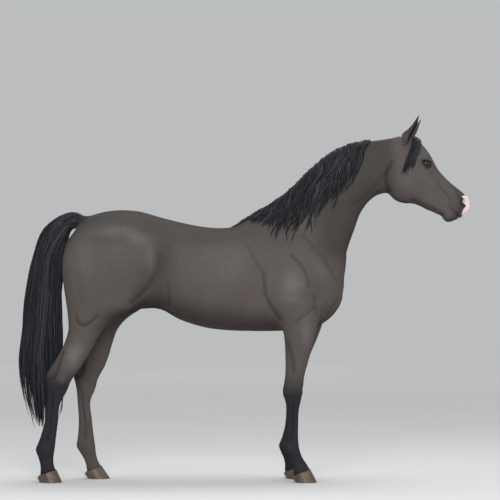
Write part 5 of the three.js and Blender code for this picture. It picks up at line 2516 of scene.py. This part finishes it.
@dataclass
class Forelock(Locks):
    """The forelock, from between the ears down the right side of the forehead, in three main tresses."""

    groups: int = 27
    per: int = 16
    steps: int = 14
    width: float = 0.0046
    seed: int = 31

    def build(self) -> None:
        """Makes the forelock."""
        rng = np.random.default_rng(self.seed)
        n = self.groups
        share = (np.arange(n) + rng.uniform(0.1, 0.9, n)) / n
        roots = np.stack([934 + 34 * share, rng.uniform(-20, 8, n), 1924 - 20 * share], axis=1)
        start = self.form.placed(roots)
        group = np.round(share * 2.4) / 2
        length = (0.268 - 0.062 * group) * (1 + rng.normal(0, 0.06, n))
        phase, swing = rng.uniform(0, 1.0, n), rng.uniform(0.05, 0.14, n)
        back = 0.42 - 0.13 * group + rng.normal(0, 0.03, n)
        off = rng.uniform(0.004, 0.013, n)

        def flow(t: float) -> Array:
            """To the right over the forehead, then down and back, in a slight wave.

            Args:
                t: The share of the way along.

            Returns:
                The way each guide goes there.
            """
            over = max(0.0, 1 - t * 3.2)
            sway = swing * np.sin(t * 7 + phase)
            aside, down = np.full(n, -0.25 - 2.4 * over), np.full(n, -1.0)
            return np.stack([-back + sway + 0.45 * over, aside, down], axis=1)

        def lift(t: float) -> Array:
            """How far off the skin: low at the root, then full, thinning to the tip."""
            return -0.001 + (off + 0.003) * (min(1.0, t * 7) * (1 - 0.6 * t))

        guides, out = self._crawl(start, flow, length, lift, self.steps)
        paths, out, tress = self._tresses(guides, out, self.per, 0.009, 0.007, 0.8, rng)
        widths = self._widths(self.width, len(paths), self.steps, (0.6, 4), 1.4, rng)
        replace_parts(self._piece("forelock_locks", paths, widths, out, rng, tress=tress), "forelock")


@dataclass
class Tail(Locks):
    """The tail's hair, arched away from the croup and hanging to below the hocks."""

    ribs: tuple[Rib, ...] = ribs_of(
        (-858, 1480, -888, 1372, 50), (-905, 1491, -918, 1402, 40), (-955, 1496, -958, 1404, 35),
        (-1005, 1485, -976, 1372, 39), (-1064, 1447, -990, 1322, 45), (-1118, 1391, -1002, 1262, 50),
        (-1158, 1310, -1012, 1205, 53), (-1182, 1215, -1016, 1135, 54), (-1205, 1090, -1018, 1050, 54),
        (-1226, 950, -1018, 930, 53), (-1240, 810, -1018, 800, 52), (-1248, 690, -1018, 690, 50),
        (-1247, 590, -1012, 590, 46), (-1236, 490, -1008, 490, 42), (-1212, 400, -1016, 400, 34),
        (-1180, 300, -1052, 300, 22),
    )
    steps: int = 23
    seed: int = 41

    def build(self) -> None:
        """Makes the core and the locks over it."""
        self.loft = Loft(self.ribs)
        core = self._layer("tail_core", 320, 30, 0.026, 0.2, 0.7, self.seed)
        for i, (name, width, low, high) in enumerate((
            ("tail_locks_a", 0.0105, 0.7, 0.95),
            ("tail_locks_b", 0.0075, 0.86, 1.02),
            ("tail_locks_c", 0.0056, 0.92, 1.06),
        )):
            self._layer(name, 760, 34 + 6 * i, width, low, high, self.seed + 1 + i)
        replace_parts(core, "tail_hair")

    def _layer(
        self, name: str, count: int, bunches: int, width: float, low: float, high: float, seed: int,
    ) -> bpy.types.Object:
        """One layer of the tail, in tresses that draw together towards uneven tips.

        Args:
            name: The piece's name.
            count: How many locks.
            bunches: How many tresses.
            width: A usual lock's width, in metres.
            low: How deep in the tail the layer starts, as a share of its half width.
            high: How far out it reaches.
            seed: For the layer's own chance.

        Returns:
            The new piece.
        """
        rng = np.random.default_rng(seed)
        steps = self.steps
        of = rng.integers(0, bunches, count)
        middle = (np.arange(bunches) + rng.uniform(-0.3, 0.3, bunches)) * 2 * np.pi / bunches
        spread = 2 * np.pi / bunches
        turn = middle[of] + rng.uniform(-1, 1, count) * spread
        deep = np.sqrt(rng.uniform(low**2, high**2, count))
        bunch_deep = rng.uniform(low, high, bunches)[of]
        early = rng.random(count) < 0.6
        first = np.where(early, rng.uniform(0.0, 0.09, count), rng.uniform(0.09, 0.3, count))
        back = np.cos(middle[of])
        end = 1 - 0.1 * rng.random(bunches)[of] ** 1.5 - 0.17 * ease(back, 0.3, 1.0) * rng.random(bunches)[of]
        end = end - 0.1 * ease(-back, 0.4, 1.0) * rng.random(bunches)[of]
        last = np.clip(end - 0.16 * rng.random(count) ** 1.7, 0.45, 1)
        t = np.linspace(0, 1, steps)[None, :]
        share = first[:, None] + (last - first)[:, None] * t
        centre, up, _, height, half = self.loft.at(share.ravel())
        gather = ease(share, 0.25, 0.95) * 0.8
        angle = turn[:, None] + (middle[of] - turn)[:, None] * gather
        angle = angle + 0.05 * np.sin(share * 20 + rng.uniform(0, 6.3, bunches)[of][:, None])
        rise = np.minimum(1, 0.4 + t * 5)
        r = (deep[:, None] * (1 - gather) + bunch_deep[:, None] * gather) * rise
        r = r * (1 + 0.04 * np.sin(share * 27 + middle[of][:, None] * 5))
        v, u = np.cos(angle) * r, np.sin(angle) * r
        point = centre + up * (v.ravel() * height)[:, None]
        point[:, 1] += u.ravel() * half
        out = up * np.cos(angle).ravel()[:, None]
        out[:, 1] += np.sin(angle).ravel() * 1.6
        paths = self.form.placed(point).reshape(count, steps, 3)
        widths = self._widths(width, count, steps, (0.12, 5), 1.35, rng)
        return self._piece(name, paths, widths, unit(out).reshape(count, steps, 3), rng, tress=of)


@dataclass
class FineHairs(Locks):
    """Lashes on the upper lids, and feelers on the muzzle."""

    lash_width: float = 0.0007
    feeler_width: float = 0.00055
    thick: float = 0.6
    seed: int = 51

    def build(self) -> None:
        """Makes the lashes and the feelers."""
        self._lashes()
        self._feelers()

    @staticmethod
    def _hair_widths(width: float, count: int, t: Array) -> Array:
        """The widths of hairs that taper to the tip, at shares of the way along."""
        return width * np.clip(1.05 - t, 0.1, 1)[None] * np.ones((count, 1))

    def _lashes(self) -> None:
        """A row of lashes along each upper lid."""
        rng = np.random.default_rng(self.seed)
        all_paths, all_out = [], []
        steps, per_eye = 7, 80
        t = np.linspace(0, 1, steps)
        for side in Side:
            facing = eye_facing(self.form, side)
            angle = np.radians(rng.uniform(22, 158, per_eye))
            flat = lid_edge(angle)
            height = np.sqrt((self.form.eye_radius + 1.6) ** 2 - flat**2)
            root = facing.centre + facing.offset(flat, angle, height)
            aside = np.outer(np.cos(angle) * 0.5, facing.along)
            fan = unit(aside + np.outer(0.1 * rng.random(per_eye), facing.up) + 0.8 * facing.out)
            long = rng.uniform(8, 14, per_eye)
            drop = np.outer(t**2, -0.6 * facing.up)
            reach = fan[:, None] * (long[:, None] * t)[:, :, None]
            paths = root[:, None] + reach + drop[None] * long[:, None, None]
            all_paths.append(paths)
            all_out.append(np.broadcast_to(facing.up, paths.shape))
        paths = self.form.placed(np.concatenate(all_paths).reshape(-1, 3)).reshape(-1, steps, 3)
        out = np.concatenate(all_out)
        widths = self._hair_widths(self.lash_width, len(paths), t)
        self._piece("lashes", paths, widths, out, rng, thick=self.thick)

    def _feelers(self) -> None:
        """Stiff single hairs on the lips and the chin."""
        rng = np.random.default_rng(self.seed + 1)
        p = self.form.drawn(self.surface.centre)
        lips = ease(p[:, 0], 1100, 1140) * ease(p[:, 2], 1545, 1500)
        weight = lips * (1 - 0.9 * self.markings.snip_share(p))
        count, steps = 90, 6
        root, normal, _ = self.surface.scatter(weight + 1e-9, count, rng)
        t = np.linspace(0, 1, steps)
        way = unit(normal + np.array([0.2, 0, -0.35]) + rng.normal(0, 0.15, (count, 3)))
        long = rng.uniform(0.008, 0.024, count)
        droop = np.array([0, 0, -1.0]) * (t**2)[:, None] * 0.25
        paths = root[:, None] + (way[:, None] * t[None, :, None] + droop[None]) * long[:, None, None]
        widths = self._hair_widths(self.feeler_width, count, t)
        side = np.cross(way, np.array([0, 0, 1.0]))
        out = np.broadcast_to(side[:, None], paths.shape)
        self._piece("feelers", paths, widths, out, rng, thick=self.thick)


# --------------------------------------------------------------------------- the studio


@dataclass
class Studio:
    """A plain pale floor, soft lights, an even sky, and the camera at the animal's right side."""

    floor_size: float = 30.0
    sensor: float = 36.0
    distance: float = 14.0
    view_width: float = 2.775
    view_x: float = 0.028
    view_z: float = 1.278

    def build(self) -> None:
        """Makes the floor, the lights and the camera."""
        self._floor()
        self._lights()
        self._camera()

    def _floor(self) -> None:
        """One wide flat sheet under the hooves."""
        deselect()
        bpy.ops.mesh.primitive_plane_add(size=self.floor_size, location=(0, 0, 0))
        floor = bpy.context.active_object
        floor.name = floor.data.name = "studio_floor"
        bpy.ops.object.transform_apply(location=True, rotation=True, scale=True)
        dress(floor, PaleFinish().make())

    def _lights(self) -> None:
        """A soft key from the camera's side, a fill from the front, a light above, and an even pale sky."""
        for name, place, size, power in (
            ("key", (-0.6, -6.4, 3.4), 2.8, 330),
            ("fill", (4.6, -3.0, 2.6), 3.0, 60),
            ("top", (0.0, 1.2, 6.6), 5.0, 240),
        ):
            data = bpy.data.lights.new(name, "AREA")
            data.shape, data.energy, data.size = "DISK", power, size
            light = bpy.data.objects.new(name, data)
            light.location = place
            aim = Vector((0, 0, 1.0)) - Vector(place)
            light.rotation_euler = aim.to_track_quat("-Z", "Y").to_euler()
            bpy.context.scene.collection.objects.link(light)
        world = bpy.data.worlds.new("studio")
        world.use_nodes = True
        sky = world.node_tree.nodes["Background"].inputs
        sky["Color"].default_value, sky["Strength"].default_value = (0.5, 0.51, 0.52, 1), 1.0
        bpy.context.scene.world = world
        bpy.context.scene.view_settings.view_transform = "Standard"

    def _camera(self) -> None:
        """A level camera with a long lens, looking along +Y."""
        data = bpy.data.cameras.new("camera")
        data.sensor_width = self.sensor
        data.lens = self.sensor * self.distance / self.view_width
        data.clip_end = 100
        camera = bpy.data.objects.new("camera", data)
        camera.location = (self.view_x, -self.distance, self.view_z)
        camera.rotation_euler = (math.radians(90), 0, 0)
        bpy.context.scene.collection.objects.link(camera)
        bpy.context.scene.camera = camera


def main() -> None:
    """Dresses the horse and sets the studio round it."""
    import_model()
    form = Form()
    markings = Markings(form)
    Studio().build()
    log.info("studio set")
    skin = Skin(form, markings).build()
    surface = Surface(form, skin)
    for side in Side:
        Eye(form, side).build()
    for name in STANCES:
        Hoof(form, name).build()
    log.info("eyes and hooves made")
    Mane(form, markings, surface).build()
    Forelock(form, markings, surface).build()
    Tail(form, markings, surface).build()
    FineHairs(form, markings, surface).build()
    ShortCoat(form, markings, surface).build()


if __name__ == "__main__":
    main()
